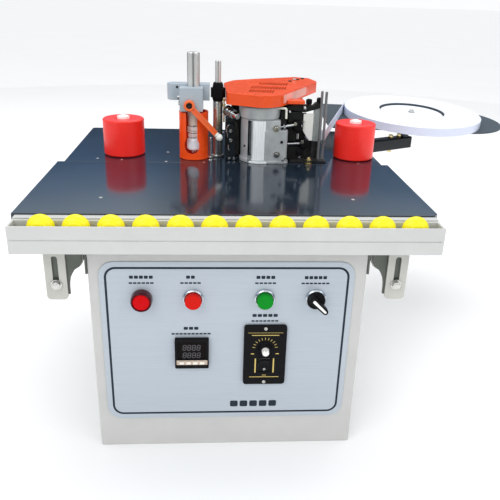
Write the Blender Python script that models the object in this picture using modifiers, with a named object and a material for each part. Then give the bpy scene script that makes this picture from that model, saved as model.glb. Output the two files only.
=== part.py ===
"""Bench-top edge banding machine, as an assembly of separate pieces.

Units are metres, +Z is up, +X is to the operator's right and +Y points away from the
operator. The origin is the centre of the cabinet's underside.
"""
import math

import bmesh
import bpy
from mathutils import Matrix, Vector

COLLECTION = "edge_banding_machine"
GAP = 0.0003                      # clearance between pieces that touch
SHEET = 0.0015                    # cabinet sheet steel

# Cabinet
CABINET_W, CABINET_D, CABINET_H = 0.380, 0.460, 0.3275
FRONT_Y = -CABINET_D / 2          # outside of the cabinet's front sheet
BASE_T = 0.002

# Printed control panel plate and the controls in it
PANEL_T = 0.0012
PANEL_FACE_Y = FRONT_Y - GAP - PANEL_T
PANEL_X0, PANEL_X1, PANEL_Z0, PANEL_Z1 = -0.1756, 0.1730, 0.050, 0.305
PANEL_CORNER = 0.020
CONTROL_Z = 0.250
LAMP_X, RED_X, GREEN_X, SELECTOR_X = -0.119, -0.049, 0.0495, 0.1205
CONTROL_HOLE_R = 0.0113           # 22 mm control series
BEZEL_FACE_Y = PANEL_FACE_Y - GAP - 0.0045
METER_X, METER_Z, METER_SIZE = -0.0515, 0.1645, 0.048
METER_BODY = 0.0446                # width of the controller's body behind the panel
SPEED_X, SPEED_Z, SPEED_W, SPEED_H = 0.0527, 0.1600, 0.061, 0.098
SPEED_FACE_Y = PANEL_FACE_Y - GAP - 0.004
SPEED_KNOB_Z = 0.1715
ROCKER_X, ROCKER_Z, ROCKER_W = 0.0525, 0.1435, 0.0160
KEY_PITCH = 0.0096

# Table
TABLE_TOP, TABLE_T = 0.368, 0.010
TABLE_UNDER = TABLE_TOP - TABLE_T
TABLE_FRONT_Y, TABLE_SEAM_Y, TABLE_REAR_Y = -0.218, 0.045, 0.322
FRONT_PLATE_W, REAR_PLATE_W = 0.568, 0.546
BEAM_W, BEAM_REAR_Y = 0.018, 0.180

# Roller rail in front of the table
RAIL_L, RAIL_Z0, RAIL_Z1 = 0.558, 0.3278, 0.365
RAIL_Y0, RAIL_Y1, RAIL_WALL = -0.260, -0.232, 0.003
RAIL_BACK_WALL_Y = RAIL_Y1 - RAIL_WALL
ROLLER_COUNT, ROLLER_PITCH, ROLLER_MID_X = 12, 0.04386, 0.0017
ROLLER_R, ROLLER_W, ROLLER_Z = 0.0178, 0.020, 0.3590
ROLLER_Y = (RAIL_Y0 + RAIL_WALL + RAIL_BACK_WALL_Y) / 2
PIN_R = 0.003
LEG_X, LEG_W, LEG_Z0, LEG_Y0, LEG_T = 0.231, 0.028, 0.250, -0.2333, 0.003
SLOT_W, SLOT_Z0, SLOT_Z1 = 0.008, 0.2685, 0.3135
BOLT_Z = 0.2727

# Red guide rollers on the table
GUIDE_LEFT, GUIDE_RIGHT = (-0.1787, 0.1053), (0.2326, 0.0977)
GUIDE_R, GUIDE_H = 0.0358, 0.063

# Trimming unit on its column
COLUMN_X, COLUMN_Y, COLUMN_R, COLUMN_TOP = -0.055, 0.0845, 0.0105, 0.546
TUBE_R, TUBE_BORE_R, TUBE_TOP = 0.0253, 0.0215, 0.4493
BLOCK_Z0, BLOCK_Z1 = 0.4515, 0.491
LEVER_X, LEVER_Y, LEVER_Z = -0.0617, 0.0535, 0.4627
ROD_X, ROD_Y, ROD_TOP = -0.0134, 0.0935, 0.5326
KNOB_Z0, KNOB_Z1, KNOB_R = 0.466, 0.497, 0.0133

# Gluing head
POT_X, POT_Y, POT_R, POT_BORE_R, POT_TOP = 0.059, 0.077, 0.037, 0.0275, 0.4635
POT_FLOOR = 0.378
GLUE_X, GLUE_Y, GLUE_ROLLER_R = 0.051, 0.066, 0.013
GEAR_MODULE, GLUE_TEETH, DRIVE_TEETH = 0.002, 18, 34
GEAR_Z0, GEAR_Z1 = 0.466, 0.474
DRIVE_ANGLE = math.radians(55)
GEAR_CENTRES = GEAR_MODULE * (GLUE_TEETH + DRIVE_TEETH) / 2
DRIVE_X = GLUE_X + GEAR_CENTRES * math.cos(DRIVE_ANGLE)
DRIVE_Y = GLUE_Y + GEAR_CENTRES * math.sin(DRIVE_ANGLE)
SHAFT_R, MOTOR_R = 0.006, 0.045
HOOD_BOTTOM, HOOD_TOP, HOOD_WALL = 0.4652, 0.4850, 0.002
HOOD_OUTLINE = [(-0.002, 0.176), (0.001, 0.059), (0.0243, 0.0475), (0.0545, 0.0308), (0.0745, 0.0325),
                (0.093, 0.0475), (0.179, 0.221), (0.170, 0.268), (0.142, 0.283), (0.062, 0.243),
                (0.016, 0.214)]
PINCH_X, PINCH_Y, PINCH_R = 0.121, 0.0940, 0.011

# Tape tray on its arm, and the coil of edging tape
COIL_X, COIL_Y, COIL_TOP_Z = 0.4127, 0.3435, 0.4124
COIL_R, COIL_HOLE_R, COIL_T = 0.146, 0.069, 0.017
TILT_BACK, TILT_RIGHT = 0.064, 0.026   # small lean of tray and coil, in radians
TRAY_HALF_L, TRAY_HALF_W, TRAY_T = 0.198, 0.102, 0.003
HUB_R, HUB_H = 0.064, 0.006
ARM_SIDE, ARM_LENGTH, ARM_WALL = 0.025, 0.350, 0.002
ARM_END_X, ARM_END_Y, ARM_ANGLE = 0.4111, 0.3407, math.atan2(0.4685, 0.8835)
ARM_TOP = TABLE_UNDER - 0.0005
TAPE_T, TAPE_H, TAPE_Z = 0.001, 0.017, 0.4112
TAPE_END_X, TAPE_BEND_X, TAPE_Y = 0.1075, 0.176, 0.0820

MATERIALS = {
    "white_paint": ((0.80, 0.79, 0.76), 0.40, 0.0),
    "label_blue": ((0.53, 0.60, 0.67), 0.45, 0.0),
    "black_gloss": ((0.020, 0.028, 0.038), 0.12, 0.0),
    "black_plastic": ((0.015, 0.015, 0.016), 0.45, 0.0),
    "black_paint": ((0.020, 0.024, 0.030), 0.35, 0.0),
    "red_plastic": ((0.70, 0.020, 0.016), 0.30, 0.0),
    "green_plastic": ((0.005, 0.36, 0.040), 0.35, 0.0),
    "cream_rubber": ((0.72, 0.62, 0.50), 0.55, 0.0),
    "white_plastic": ((0.80, 0.80, 0.78), 0.35, 0.0),
    "yellow_plastic": ((0.85, 0.72, 0.010), 0.35, 0.0),
    "red_polyurethane": ((0.72, 0.035, 0.025), 0.35, 0.0),
    "orange_paint": ((0.85, 0.085, 0.010), 0.30, 0.0),
    "orange_lever": ((0.85, 0.16, 0.03), 0.35, 0.0),
    "cast_grey": ((0.36, 0.38, 0.40), 0.45, 0.6),
    "steel": ((0.60, 0.60, 0.60), 0.25, 1.0),
    "chrome": ((0.75, 0.75, 0.76), 0.08, 1.0),
    "zinc": ((0.55, 0.55, 0.50), 0.45, 0.0),
    "bezel_metal": ((0.62, 0.63, 0.64), 0.30, 1.0),
    "rubber": ((0.020, 0.020, 0.020), 0.75, 0.0),
    "tape_white": ((0.82, 0.83, 0.86), 0.40, 0.0),
    "slate_paint": ((0.045, 0.065, 0.080), 0.45, 0.0),
}


# ---------------------------------------------------------------- tools

def clear_scene():
    for old in list(bpy.data.objects):
        bpy.data.objects.remove(old, do_unlink=True)
    for name in (COLLECTION, "cutters"):
        group = bpy.data.collections.get(name) or bpy.data.collections.new(name)
        if group.name not in bpy.context.scene.collection.children:
            bpy.context.scene.collection.children.link(group)


def material(slot):
    found = bpy.data.materials.get(slot)
    if found:
        return found
    colour, roughness, metallic = MATERIALS[slot]
    made = bpy.data.materials.new(slot)
    made.use_nodes = True
    shader = made.node_tree.nodes["Principled BSDF"]
    shader.inputs["Base Color"].default_value = (*colour, 1.0)
    shader.inputs["Roughness"].default_value = roughness
    shader.inputs["Metallic"].default_value = metallic
    made.diffuse_color = (*colour, 1.0)
    return made


def add_object(name, mesh, slot=None):
    """Link a mesh as a part, or as a hidden cutter when it has no material slot."""
    made = bpy.data.objects.new(name, mesh)
    if slot:
        bpy.data.collections[COLLECTION].objects.link(made)
        mesh.materials.append(material(slot))
    else:
        bpy.data.collections["cutters"].objects.link(made)
        made.hide_render = True
        made.display_type = "WIRE"
    return made


def box(name, low, high, slot=None, place=None, turn=(0, 0, 0)):
    """A box between two corners. With a place, the corners are measured from it before the turn."""
    middle = [(a + b) / 2 for a, b in zip(low, high)]
    size = [b - a for a, b in zip(low, high)]
    form = bmesh.new()
    bmesh.ops.create_cube(form, size=1.0)
    bmesh.ops.scale(form, vec=size, verts=form.verts)
    if place:
        bmesh.ops.translate(form, vec=middle, verts=form.verts)
    mesh = bpy.data.meshes.new(name)
    form.to_mesh(mesh)
    form.free()
    made = add_object(name, mesh, slot)
    made.location = place or middle
    made.rotation_euler = turn
    return made


def turned(name, profile, place, slot=None, steps=24, facing="up"):
    """Screw a (radius, height) profile that runs down its outer side, top to bottom."""
    mesh = bpy.data.meshes.new(name)
    closed = profile[0][0] > 0
    edges = [(i, i + 1) for i in range(len(profile) - 1)]
    if closed:
        edges.append((len(profile) - 1, 0))
    mesh.from_pydata([(radius, 0.0, height) for radius, height in profile], edges, [])
    made = add_object(name, mesh, slot)
    made.location = place
    if facing == "front":
        made.rotation_euler = (math.pi / 2, 0, 0)
    screw = made.modifiers.new("turn", "SCREW")
    screw.axis = "Z"
    screw.steps = steps
    screw.render_steps = steps
    screw.use_merge_vertices = True
    screw.merge_threshold = 0.00001
    screw.use_smooth_shade = True
    return made


def rod(name, radius, z0, z1, x, y, slot=None, steps=20):
    return turned(name, [(0, z1), (radius, z1), (radius, z0), (0, z0)], (x, y, 0), slot, steps)


def cross_rod(name, radius, y_front, y_back, x, z, slot=None, steps=20):
    """A rod along Y between two depths."""
    profile = [(0, -y_front), (radius, -y_front), (radius, -y_back), (0, -y_back)]
    return turned(name, profile, (x, 0, z), slot, steps, "front")


def flat_plate(name, outline, thickness, slot=None):
    """A flat outline in XY, as a mesh centred on z = 0."""
    curve = bpy.data.curves.new(name, "CURVE")
    curve.dimensions = "2D"
    curve.fill_mode = "BOTH"
    curve.extrude = thickness / 2
    line = curve.splines.new("POLY")
    line.points.add(len(outline) - 1)
    for point, (x, y) in zip(line.points, outline):
        point.co = (x, y, 0, 1)
    line.use_cyclic_u = True
    drawn = bpy.data.objects.new(name + "_outline", curve)
    bpy.context.scene.collection.objects.link(drawn)
    bpy.context.view_layer.update()
    graph = bpy.context.evaluated_depsgraph_get()
    mesh = bpy.data.meshes.new_from_object(drawn.evaluated_get(graph))
    mesh.name = name
    form = bmesh.new()
    form.from_mesh(mesh)
    bmesh.ops.remove_doubles(form, verts=form.verts, dist=0.00001)
    bmesh.ops.recalc_face_normals(form, faces=form.faces)
    form.to_mesh(mesh)
    form.free()
    mesh.materials.clear()
    bpy.data.objects.remove(drawn, do_unlink=True)
    return add_object(name, mesh, slot)


def boolean(target, tool, operation):
    step = target.modifiers.new(operation.lower(), "BOOLEAN")
    step.operation = operation
    step.solver = "EXACT"
    step.object = tool
    return target


def cut(target, *tools):
    for tool in tools:
        boolean(target, tool, "DIFFERENCE")
    return target


def join(target, *tools):
    for tool in tools:
        boolean(target, tool, "UNION")
    return target


def arc(cx, cy, radius, start, end, steps):
    """Points on an arc, with angles in degrees."""
    turns = [math.radians(start + (end - start) * i / steps) for i in range(steps + 1)]
    return [(cx + radius * math.cos(t), cy + radius * math.sin(t)) for t in turns]


def rounded_rectangle(x0, y0, x1, y1, radius, steps=4):
    corners = [(x1 - radius, y0 + radius, -90), (x1 - radius, y1 - radius, 0),
               (x0 + radius, y1 - radius, 90), (x0 + radius, y0 + radius, 180)]
    return [p for cx, cy, start in corners for p in arc(cx, cy, radius, start, start + 90, steps)]


def stand_upright(plate, y):
    """Turn a plate drawn in XY so that its outline's second axis becomes Z."""
    plate.rotation_euler = (math.pi / 2, 0, 0)
    plate.location.y = y
    return plate


def hinge_origin(target, x, y, z):
    """Move an object's origin to a joint axis and keep its shape where it is."""
    shift = target.matrix_basis.inverted() @ Vector((x, y, z))
    for vertex in target.data.vertices:
        vertex.co -= shift
    target.location = (x, y, z)


# ---------------------------------------------------------------- cabinet

def control_cutters():
    """Openings through the control panel and the cabinet's front sheet."""
    y0, y1 = PANEL_FACE_Y - 0.004, FRONT_Y + 0.004
    holes = [cross_rod("control_hole", CONTROL_HOLE_R, y0, y1, x, CONTROL_Z, steps=24)
             for x in (LAMP_X, RED_X, GREEN_X, SELECTOR_X)]
    half = METER_BODY / 2 + 0.0004
    holes.append(box("meter_hole", (METER_X - half, y0, METER_Z - half),
                     (METER_X + half, y1, METER_Z + half)))
    holes.append(box("speed_hole", (SPEED_X - 0.028, y0, SPEED_Z - 0.0445),
                     (SPEED_X + 0.028, y1, SPEED_Z + 0.0445)))
    return holes


def cabinet(cutters):
    """Front, sides and top of the cabinet, with two beams on top that carry the table."""
    half = CABINET_W / 2
    shell = box("cabinet_shell", (-half, FRONT_Y, 0), (half, -FRONT_Y, CABINET_H), "white_paint")
    inner = box("cabinet_inner", (-half + SHEET, FRONT_Y + SHEET, -0.01),
                (half - SHEET, -FRONT_Y + 0.01, CABINET_H - SHEET))
    cut(shell, inner)
    for side in (-1, 1):
        edge = side * half
        beam = box("table_beam", (min(edge, edge - side * BEAM_W), TABLE_FRONT_Y, CABINET_H - 0.001),
                   (max(edge, edge - side * BEAM_W), BEAM_REAR_Y, TABLE_UNDER - GAP))
        join(shell, beam)
    cut(shell, *cutters)
    cut(shell, rod("drive_passage", 0.022, CABINET_H - 0.006, CABINET_H + 0.004, DRIVE_X, DRIVE_Y))


def cabinet_back():
    """Folded sheet that closes the base and the back, with louvre slots and a cord gland."""
    half = CABINET_W / 2 - SHEET - GAP
    y0, y1 = FRONT_Y + SHEET + GAP, -FRONT_Y
    back = box("cabinet_back", (-half, y0, 0), (half, y1, BASE_T), "white_paint")
    top = CABINET_H - SHEET - GAP
    join(back, box("rear_wall", (-half, y1 - SHEET, BASE_T / 2), (half, y1, top)))
    for row in range(5):
        z = 0.200 + 0.014 * row
        cut(back, box("louvre", (-0.060, y1 - 0.01, z), (0.060, y1 + 0.01, z + 0.005)))
    gland = [(0, 0.012), (0.008, 0.012), (0.010, 0.008), (0.010, -0.002), (0, -0.002)]
    collar = turned("cord_gland", gland, (-0.150, y1, 0.040), None, 16)
    collar.rotation_euler = (-math.pi / 2, 0, 0)
    bore = rod("cord_bore", 0.004, -0.02, 0.02, 0, 0, None, 12)
    bore.rotation_euler = (-math.pi / 2, 0, 0)
    bore.location = (-0.150, y1, 0.040)
    join(back, collar)
    cut(back, bore)


def control_panel(cutters):
    outline = rounded_rectangle(PANEL_X0, PANEL_Z0, PANEL_X1, PANEL_Z1, PANEL_CORNER)
    plate = flat_plate("control_panel", outline, PANEL_T, "label_blue")
    stand_upright(plate, PANEL_FACE_Y + PANEL_T / 2)
    cut(plate, *cutters)


def drive_motor():
    """Geared motor that hangs under the cabinet's top."""
    top = CABINET_H - SHEET - GAP
    profile = [(0, 0.200), (0.007, 0.200), (0.007, top), (MOTOR_R, top), (MOTOR_R, 0.286),
               (0.041, 0.284), (0.041, 0.170), (0.036, 0.163), (0, 0.163)]
    turned("drive_motor", profile, (DRIVE_X, DRIVE_Y, 0), "black_paint", 24)


# ---------------------------------------------------------------- controls

def bezel(name, x, slot, bore_r=0.0100, bore_depth=0.022):
    """A 22 mm control body: flange and barrel, with a blind bore for its moving cap."""
    face, back = -BEZEL_FACE_Y, -PANEL_FACE_Y + GAP
    profile = [(0, face - bore_depth), (bore_r, face - bore_depth), (bore_r, face), (0.0135, face),
               (0.0145, face - 0.001), (0.0145, back), (CONTROL_HOLE_R - GAP, back),
               (CONTROL_HOLE_R - GAP, face - 0.045), (0, face - 0.045)]
    return turned(name, profile, (x, 0, CONTROL_Z), slot, 24, "front")


def push_button(name, x, slot):
    out, back = -BEZEL_FACE_Y + 0.0085, -BEZEL_FACE_Y - 0.015
    profile = [(0, out), (0.0082, out), (0.0094, out - 0.001), (0.0096, back), (0, back)]
    cap = turned(name, profile, (x, 0, CONTROL_Z), slot, 24, "front")
    hinge_origin(cap, x, BEZEL_FACE_Y, CONTROL_Z)


def pilot_lamp():
    face, back = -BEZEL_FACE_Y, -PANEL_FACE_Y + GAP
    profile = [(0, face + 0.0095), (0.0070, face + 0.0090), (0.0105, face + 0.0070),
               (0.0120, face + 0.0065), (0.0130, face), (0.0145, face - 0.001), (0.0145, back),
               (CONTROL_HOLE_R - GAP, back), (CONTROL_HOLE_R - GAP, face - 0.045), (0, face - 0.045)]
    turned("pilot_lamp", profile, (LAMP_X, 0, CONTROL_Z), "red_plastic", 24, "front")


def selector():
    bezel("selector_bezel", SELECTOR_X, "bezel_metal")
    face = -BEZEL_FACE_Y
    profile = [(0, face + 0.006), (0.0125, face + 0.006), (0.0130, face + 0.001),
               (0.0096, face + 0.001), (0.0096, face - 0.015), (0, face - 0.015)]
    knob = turned("selector_knob", profile, (SELECTOR_X, 0, CONTROL_Z), "black_plastic", 24, "front")
    handle = box("selector_handle", (-0.0045, -0.0075, -0.020), (0.0045, 0.0045, 0.012), None,
                 (SELECTOR_X, BEZEL_FACE_Y - 0.009, CONTROL_Z), (0, math.radians(-45), 0))
    join(knob, handle)
    hinge_origin(knob, SELECTOR_X, BEZEL_FACE_Y, CONTROL_Z)


def temperature_controller():
    """48 mm square panel instrument with four keys in their own wells."""
    half, body = METER_SIZE / 2, METER_BODY / 2
    face_y = PANEL_FACE_Y - GAP - 0.006
    meter = box("temperature_controller", (METER_X - half, face_y, METER_Z - half),
                (METER_X + half, PANEL_FACE_Y - GAP, METER_Z + half), "black_plastic")
    join(meter, box("meter_case", (METER_X - body, PANEL_FACE_Y - 0.001, METER_Z - body),
                    (METER_X + body, -0.165, METER_Z + body)))
    key_z = METER_Z - 0.0145
    for number in range(4):
        x = METER_X + (number - 1.5) * KEY_PITCH
        cut(meter, box("key_well", (x - 0.0042, face_y - 0.01, key_z - 0.0026),
                       (x + 0.0042, face_y + 0.0024, key_z + 0.0026)))
        box(f"temperature_key_{number + 1}", (x - 0.0038, face_y - 0.0008, key_z - 0.0022),
            (x + 0.0038, face_y + 0.0014, key_z + 0.0022), "cream_rubber")


def speed_controller():
    outline = rounded_rectangle(SPEED_X - SPEED_W / 2, SPEED_Z - SPEED_H / 2,
                                SPEED_X + SPEED_W / 2, SPEED_Z + SPEED_H / 2, 0.004, 2)
    face = flat_plate("speed_controller", outline, 0.004, "black_plastic")
    stand_upright(face, SPEED_FACE_Y + 0.002)
    join(face, box("speed_case", (SPEED_X - 0.0275, PANEL_FACE_Y - 0.001, SPEED_Z - 0.044),
                   (SPEED_X + 0.0275, -0.180, SPEED_Z + 0.044)))
    well_y = SPEED_FACE_Y + 0.010
    cut(face,
        cross_rod("knob_well", 0.0034, SPEED_FACE_Y - 0.01, well_y, SPEED_X, SPEED_KNOB_Z, steps=12),
        box("rocker_well", (ROCKER_X - ROCKER_W / 2 - 0.0004, SPEED_FACE_Y - 0.01, ROCKER_Z - 0.0115),
            (ROCKER_X + ROCKER_W / 2 + 0.0004, SPEED_FACE_Y + 0.012, ROCKER_Z + 0.0115)))
    out = -SPEED_FACE_Y
    profile = [(0, out + 0.013), (0.0055, out + 0.013), (0.0065, out + 0.012), (0.0065, out + 0.006),
               (0.0105, out + 0.0045), (0.0110, out + 0.0006), (0.0030, out + 0.0006),
               (0.0030, out - 0.008), (0, out - 0.008)]
    knob = turned("speed_knob", profile, (SPEED_X, 0, SPEED_KNOB_Z), "white_plastic", 20, "front")
    hinge_origin(knob, SPEED_X, SPEED_FACE_Y, SPEED_KNOB_Z)
    rocker()


def rocker():
    """Two-position rocker, drawn with its lower half pressed in."""
    profile = [(-0.0105, -0.0005), (0.0, 0.0006), (0.0105, 0.0040), (0.0090, -0.0045),
               (-0.0090, -0.0045)]
    switch = flat_plate("rocker_switch", profile, ROCKER_W, "black_plastic")
    switch.rotation_euler = Matrix(((0, 0, 1), (0, -1, 0), (1, 0, 0))).to_euler()
    switch.location = (ROCKER_X, SPEED_FACE_Y, ROCKER_Z)


# ---------------------------------------------------------------- table

def table():
    """Front angle and the two table plates with their through holes."""
    half = RAIL_L / 2
    angle = box("table_front_angle", (-half, FRONT_Y + GAP, CABINET_H + GAP),
                (half, FRONT_Y + GAP + 0.003, TABLE_TOP - 0.002), "white_paint")
    join(angle, box("angle_lip", (-half, FRONT_Y + 0.001, TABLE_TOP - 0.005),
                    (half, TABLE_FRONT_Y - GAP, TABLE_TOP - 0.002)))
    front = FRONT_PLATE_W / 2
    outline = [(-front, TABLE_FRONT_Y), (front - 0.008, TABLE_FRONT_Y), (front, TABLE_FRONT_Y + 0.008),
               (front, TABLE_SEAM_Y), (-front, TABLE_SEAM_Y)]
    plate = flat_plate("table_front_plate", outline, TABLE_T, "black_gloss")
    plate.location.z = TABLE_TOP - TABLE_T / 2
    rear = REAR_PLATE_W / 2
    plate = box("table_rear_plate", (-rear, TABLE_SEAM_Y + GAP, TABLE_UNDER),
                (rear, TABLE_REAR_Y, TABLE_TOP), "black_gloss")
    for x, y in (GUIDE_LEFT, GUIDE_RIGHT):
        cut(plate, rod("axle_hole", 0.0063, TABLE_UNDER - 0.01, TABLE_TOP + 0.01, x, y))
    cut(plate, rod("drive_hole", 0.016, TABLE_UNDER - 0.01, TABLE_TOP + 0.01, DRIVE_X, DRIVE_Y))


def roller_rail():
    """Channel with riveted roller pins and two slotted legs."""
    half, wall = RAIL_L / 2, RAIL_WALL
    rail = box("roller_rail", (-half, RAIL_Y0, RAIL_Z0), (half, RAIL_Y1, RAIL_Z1), "white_paint")
    cut(rail, box("channel", (-half + wall, RAIL_Y0 + wall, RAIL_Z0 + wall),
                  (half - wall, RAIL_BACK_WALL_Y, RAIL_Z1 + 0.01)))
    for number in range(ROLLER_COUNT):
        join(rail, cross_rod("roller_pin", PIN_R, RAIL_Y0 + 0.0015, RAIL_Y1 - 0.0015,
                             roller_x(number), ROLLER_Z, steps=10))
    for side in (-1, 1):
        x = side * LEG_X
        outline = rounded_rectangle(x - LEG_W / 2, LEG_Z0, x + LEG_W / 2, RAIL_Z1 - 0.010, 0.004, 2)
        leg = stand_upright(flat_plate("leg", outline, LEG_T), LEG_Y0 + LEG_T / 2)
        slot = rounded_rectangle(x - SLOT_W / 2, SLOT_Z0, x + SLOT_W / 2, SLOT_Z1,
                                 SLOT_W / 2 - 0.0002)
        window = stand_upright(flat_plate("leg_slot", slot, 0.02), LEG_Y0)
        join(rail, leg)
        cut(rail, window)


def roller_x(number):
    return ROLLER_MID_X + (number - (ROLLER_COUNT - 1) / 2) * ROLLER_PITCH


def rail_rollers():
    """Rail rollers that turn on the channel's pins; they share one mesh."""
    half, bore = ROLLER_W / 2, PIN_R + 0.0004
    profile = [(bore, half), (0.0125, half), (0.0160, half * 0.70), (ROLLER_R, half * 0.25),
               (ROLLER_R, -half * 0.25), (0.0160, -half * 0.70), (0.0125, -half), (bore, -half)]
    first = turned("rail_roller_01", profile, (roller_x(0), ROLLER_Y, ROLLER_Z), "yellow_plastic", 16,
                   "front")
    for number in range(1, ROLLER_COUNT):
        copy = first.copy()
        copy.name = f"rail_roller_{number + 1:02d}"
        copy.location.x = roller_x(number)
        bpy.data.collections[COLLECTION].objects.link(copy)


def rail_supports():
    """Brackets on the cabinet's sides, each with the clamping bolt of one rail leg."""
    for side, name in ((-1, "rail_support_left"), (1, "rail_support_right")):
        cabinet_x = CABINET_W / 2 + GAP
        inner, outer, top = cabinet_x, LEG_X + 0.012, CABINET_H - 0.001
        reach = LEG_X - 0.016
        web = [(inner + (reach - inner) * math.sin(t), 0.272 + 0.034 * math.cos(t))
               for t in (i * math.pi / 12 for i in range(7))]
        outline = [(inner, top), (outer, top), (outer, 0.256), (reach, 0.256)] + web[::-1]
        outline = [(side * x, z) for x, z in outline]
        plate_t = 0.005
        plate = flat_plate(name, outline, plate_t, "zinc")
        stand_upright(plate, FRONT_Y + GAP + plate_t / 2)
        flange = box("side_flange", (min(side * inner, side * (inner + 0.003)), FRONT_Y + 0.002, 0.285),
                     (max(side * inner, side * (inner + 0.003)), FRONT_Y + 0.040, top))
        bolt = [(0, 0.240), (0.0035, 0.240), (0.0062, 0.239), (0.0062, 0.2352), (0.0085, 0.2350),
                (0.0085, 0.2337), (PIN_R, 0.2337), (PIN_R, 0.2270), (0, 0.2270)]
        clamp = turned("clamp_bolt", bolt, (side * LEG_X, 0, BOLT_Z), None, 12, "front")
        join(plate, flange, clamp)


def guide_rollers():
    """Red rollers that the workpiece runs along, each on its own axle."""
    for name, (x, y) in (("left", GUIDE_LEFT), ("right", GUIDE_RIGHT)):
        z0, z1 = TABLE_TOP + 0.0005, TABLE_TOP + 0.0005 + GUIDE_H
        bore = 0.0064
        profile = [(bore, z1 - 0.009), (0.0125, z1 - 0.009), (0.0125, z1), (GUIDE_R - 0.0015, z1),
                   (GUIDE_R, z1 - 0.0015), (GUIDE_R, z0 + 0.0015), (GUIDE_R - 0.0015, z0), (bore, z0)]
        turned(f"guide_roller_{name}", profile, (x, y, 0), "red_polyurethane", 32)
        axle = [(0, z1 + 0.0050), (0.0085, z1 + 0.0050), (0.0095, z1 + 0.0040), (0.0095, z1 - 0.0085),
                (0.0060, z1 - 0.0085), (0.0060, TABLE_UNDER + 0.0005), (0, TABLE_UNDER + 0.0005)]
        turned(f"guide_axle_{name}", axle, (x, y, 0), "steel", 16)


# ---------------------------------------------------------------- trimming unit

def trim_tube():
    """Orange socket tube with a keyhole window over the height adjuster."""
    z0, floor = TABLE_TOP + GAP, TABLE_TOP + 0.006
    profile = [(0, floor), (TUBE_BORE_R, floor), (TUBE_BORE_R, TUBE_TOP), (TUBE_R, TUBE_TOP),
               (TUBE_R, z0), (0, z0)]
    tube = turned("trim_tube", profile, (COLUMN_X, COLUMN_Y, 0), "orange_paint", 32)
    narrow, wide = 0.0095, 0.0125
    lower = arc(0, 0.391, wide, 180, 360, 8)
    outline = lower + [(wide, 0.398), (narrow, 0.404), (narrow, TUBE_TOP + 0.01),
                       (-narrow, TUBE_TOP + 0.01), (-narrow, 0.404), (-wide, 0.398)]
    window = stand_upright(flat_plate("keyhole", outline, 0.03), COLUMN_Y - 0.025)
    window.location.x = COLUMN_X - 0.003
    cut(tube, window)


def trim_column():
    """Chrome column with its jam nut and screw."""
    profile = [(0, COLUMN_TOP), (COLUMN_R - 0.001, COLUMN_TOP), (COLUMN_R, COLUMN_TOP - 0.001),
               (COLUMN_R, 0.424), (0.0080, 0.4235), (0.0080, 0.4035), (0.0045, 0.4035), (0.0045, 0.377),
               (0, 0.377)]
    turned("trim_column", profile, (COLUMN_X, COLUMN_Y, 0), "chrome", 24)
    wheel = [(0.0048, 0.4025), (0.0112, 0.4025), (0.0122, 0.4010), (0.0122, 0.3840), (0.0112, 0.3825),
             (0.0048, 0.3825)]
    turned("adjust_wheel", wheel, (COLUMN_X, COLUMN_Y, 0), "steel", 24)


def trim_block():
    """Clamp block on the column, with the cross arm behind it."""
    block = box("trim_block", (-0.0782, 0.060, BLOCK_Z0), (-0.0387, 0.109, BLOCK_Z1), "cast_grey")
    bar_z0, bar_z1 = 0.4665, 0.494
    outline = arc(-0.088, 0.098, 0.0125, 90, 270, 8) + [(-0.0275, 0.0855), (-0.0275, 0.1105)]
    bar = flat_plate("cross_arm", outline, bar_z1 - bar_z0)
    bar.location.z = (bar_z0 + bar_z1) / 2
    join(block, bar)
    cut(block, rod("column_bore", COLUMN_R + 0.0004, 0.44, 0.51, COLUMN_X, COLUMN_Y, None, 24),
        cross_rod("lever_bore", 0.0044, 0.05, 0.070, LEVER_X, LEVER_Z, None, 12))


def clamp_lever():
    """Clamping lever, with its screw in the block's threaded bore."""
    profile = [(0, -0.0500), (0.0075, -0.0500), (0.0085, -0.0510), (0.0085, -0.0590),
               (0.0040, -0.0590), (0.0040, -0.0690), (0, -0.0690)]
    lever = turned("clamp_lever", profile, (LEVER_X, 0, LEVER_Z), "orange_lever", 20, "front")
    length, reach, angle = 0.0683, 0.0725, math.radians(46.0)
    arm = box("lever_arm", (0, -0.003, -0.004), (length, 0.003, 0.004), None,
              (LEVER_X, LEVER_Y, LEVER_Z), (0, angle, 0))
    ball = turned("lever_ball", [(0.0062 * math.sin(t), 0.0062 * math.cos(t))
                                 for t in (i * math.pi / 8 for i in range(9))],
                  (LEVER_X + reach * math.cos(angle), LEVER_Y, LEVER_Z - reach * math.sin(angle)),
                  None, 12)
    join(lever, arm, ball)
    hinge_origin(lever, LEVER_X, LEVER_Y, LEVER_Z)


def guide_rod():
    profile = [(0, ROD_TOP), (0.0042, ROD_TOP), (0.0050, ROD_TOP - 0.001), (0.0050, 0.465),
               (0.0085, 0.465), (0.0085, TABLE_TOP + GAP), (0, TABLE_TOP + GAP)]
    turned("guide_rod", profile, (ROD_X, ROD_Y, 0), "chrome", 20)


def star_knob():
    lobes, points = 6, 36
    outline = []
    for i in range(points):
        t = 2 * math.pi * i / points
        radius = KNOB_R - 0.0014 + 0.0013 * math.cos(lobes * t)
        outline.append((radius * math.cos(t), radius * math.sin(t)))
    knob = flat_plate("star_knob", outline, 0.020, "black_plastic")
    knob.location = (ROD_X, ROD_Y, KNOB_Z0 + 0.010)
    neck = rod("knob_neck", 0.0095, -0.005, KNOB_Z1 - KNOB_Z0 - 0.010, 0, 0, None, 20)
    neck.location = knob.location
    bore = rod("knob_bore", 0.0054, -0.02, 0.04, 0, 0, None, 16)
    bore.location = knob.location
    join(knob, neck)
    cut(knob, bore)


# ---------------------------------------------------------------- gluing head

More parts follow.
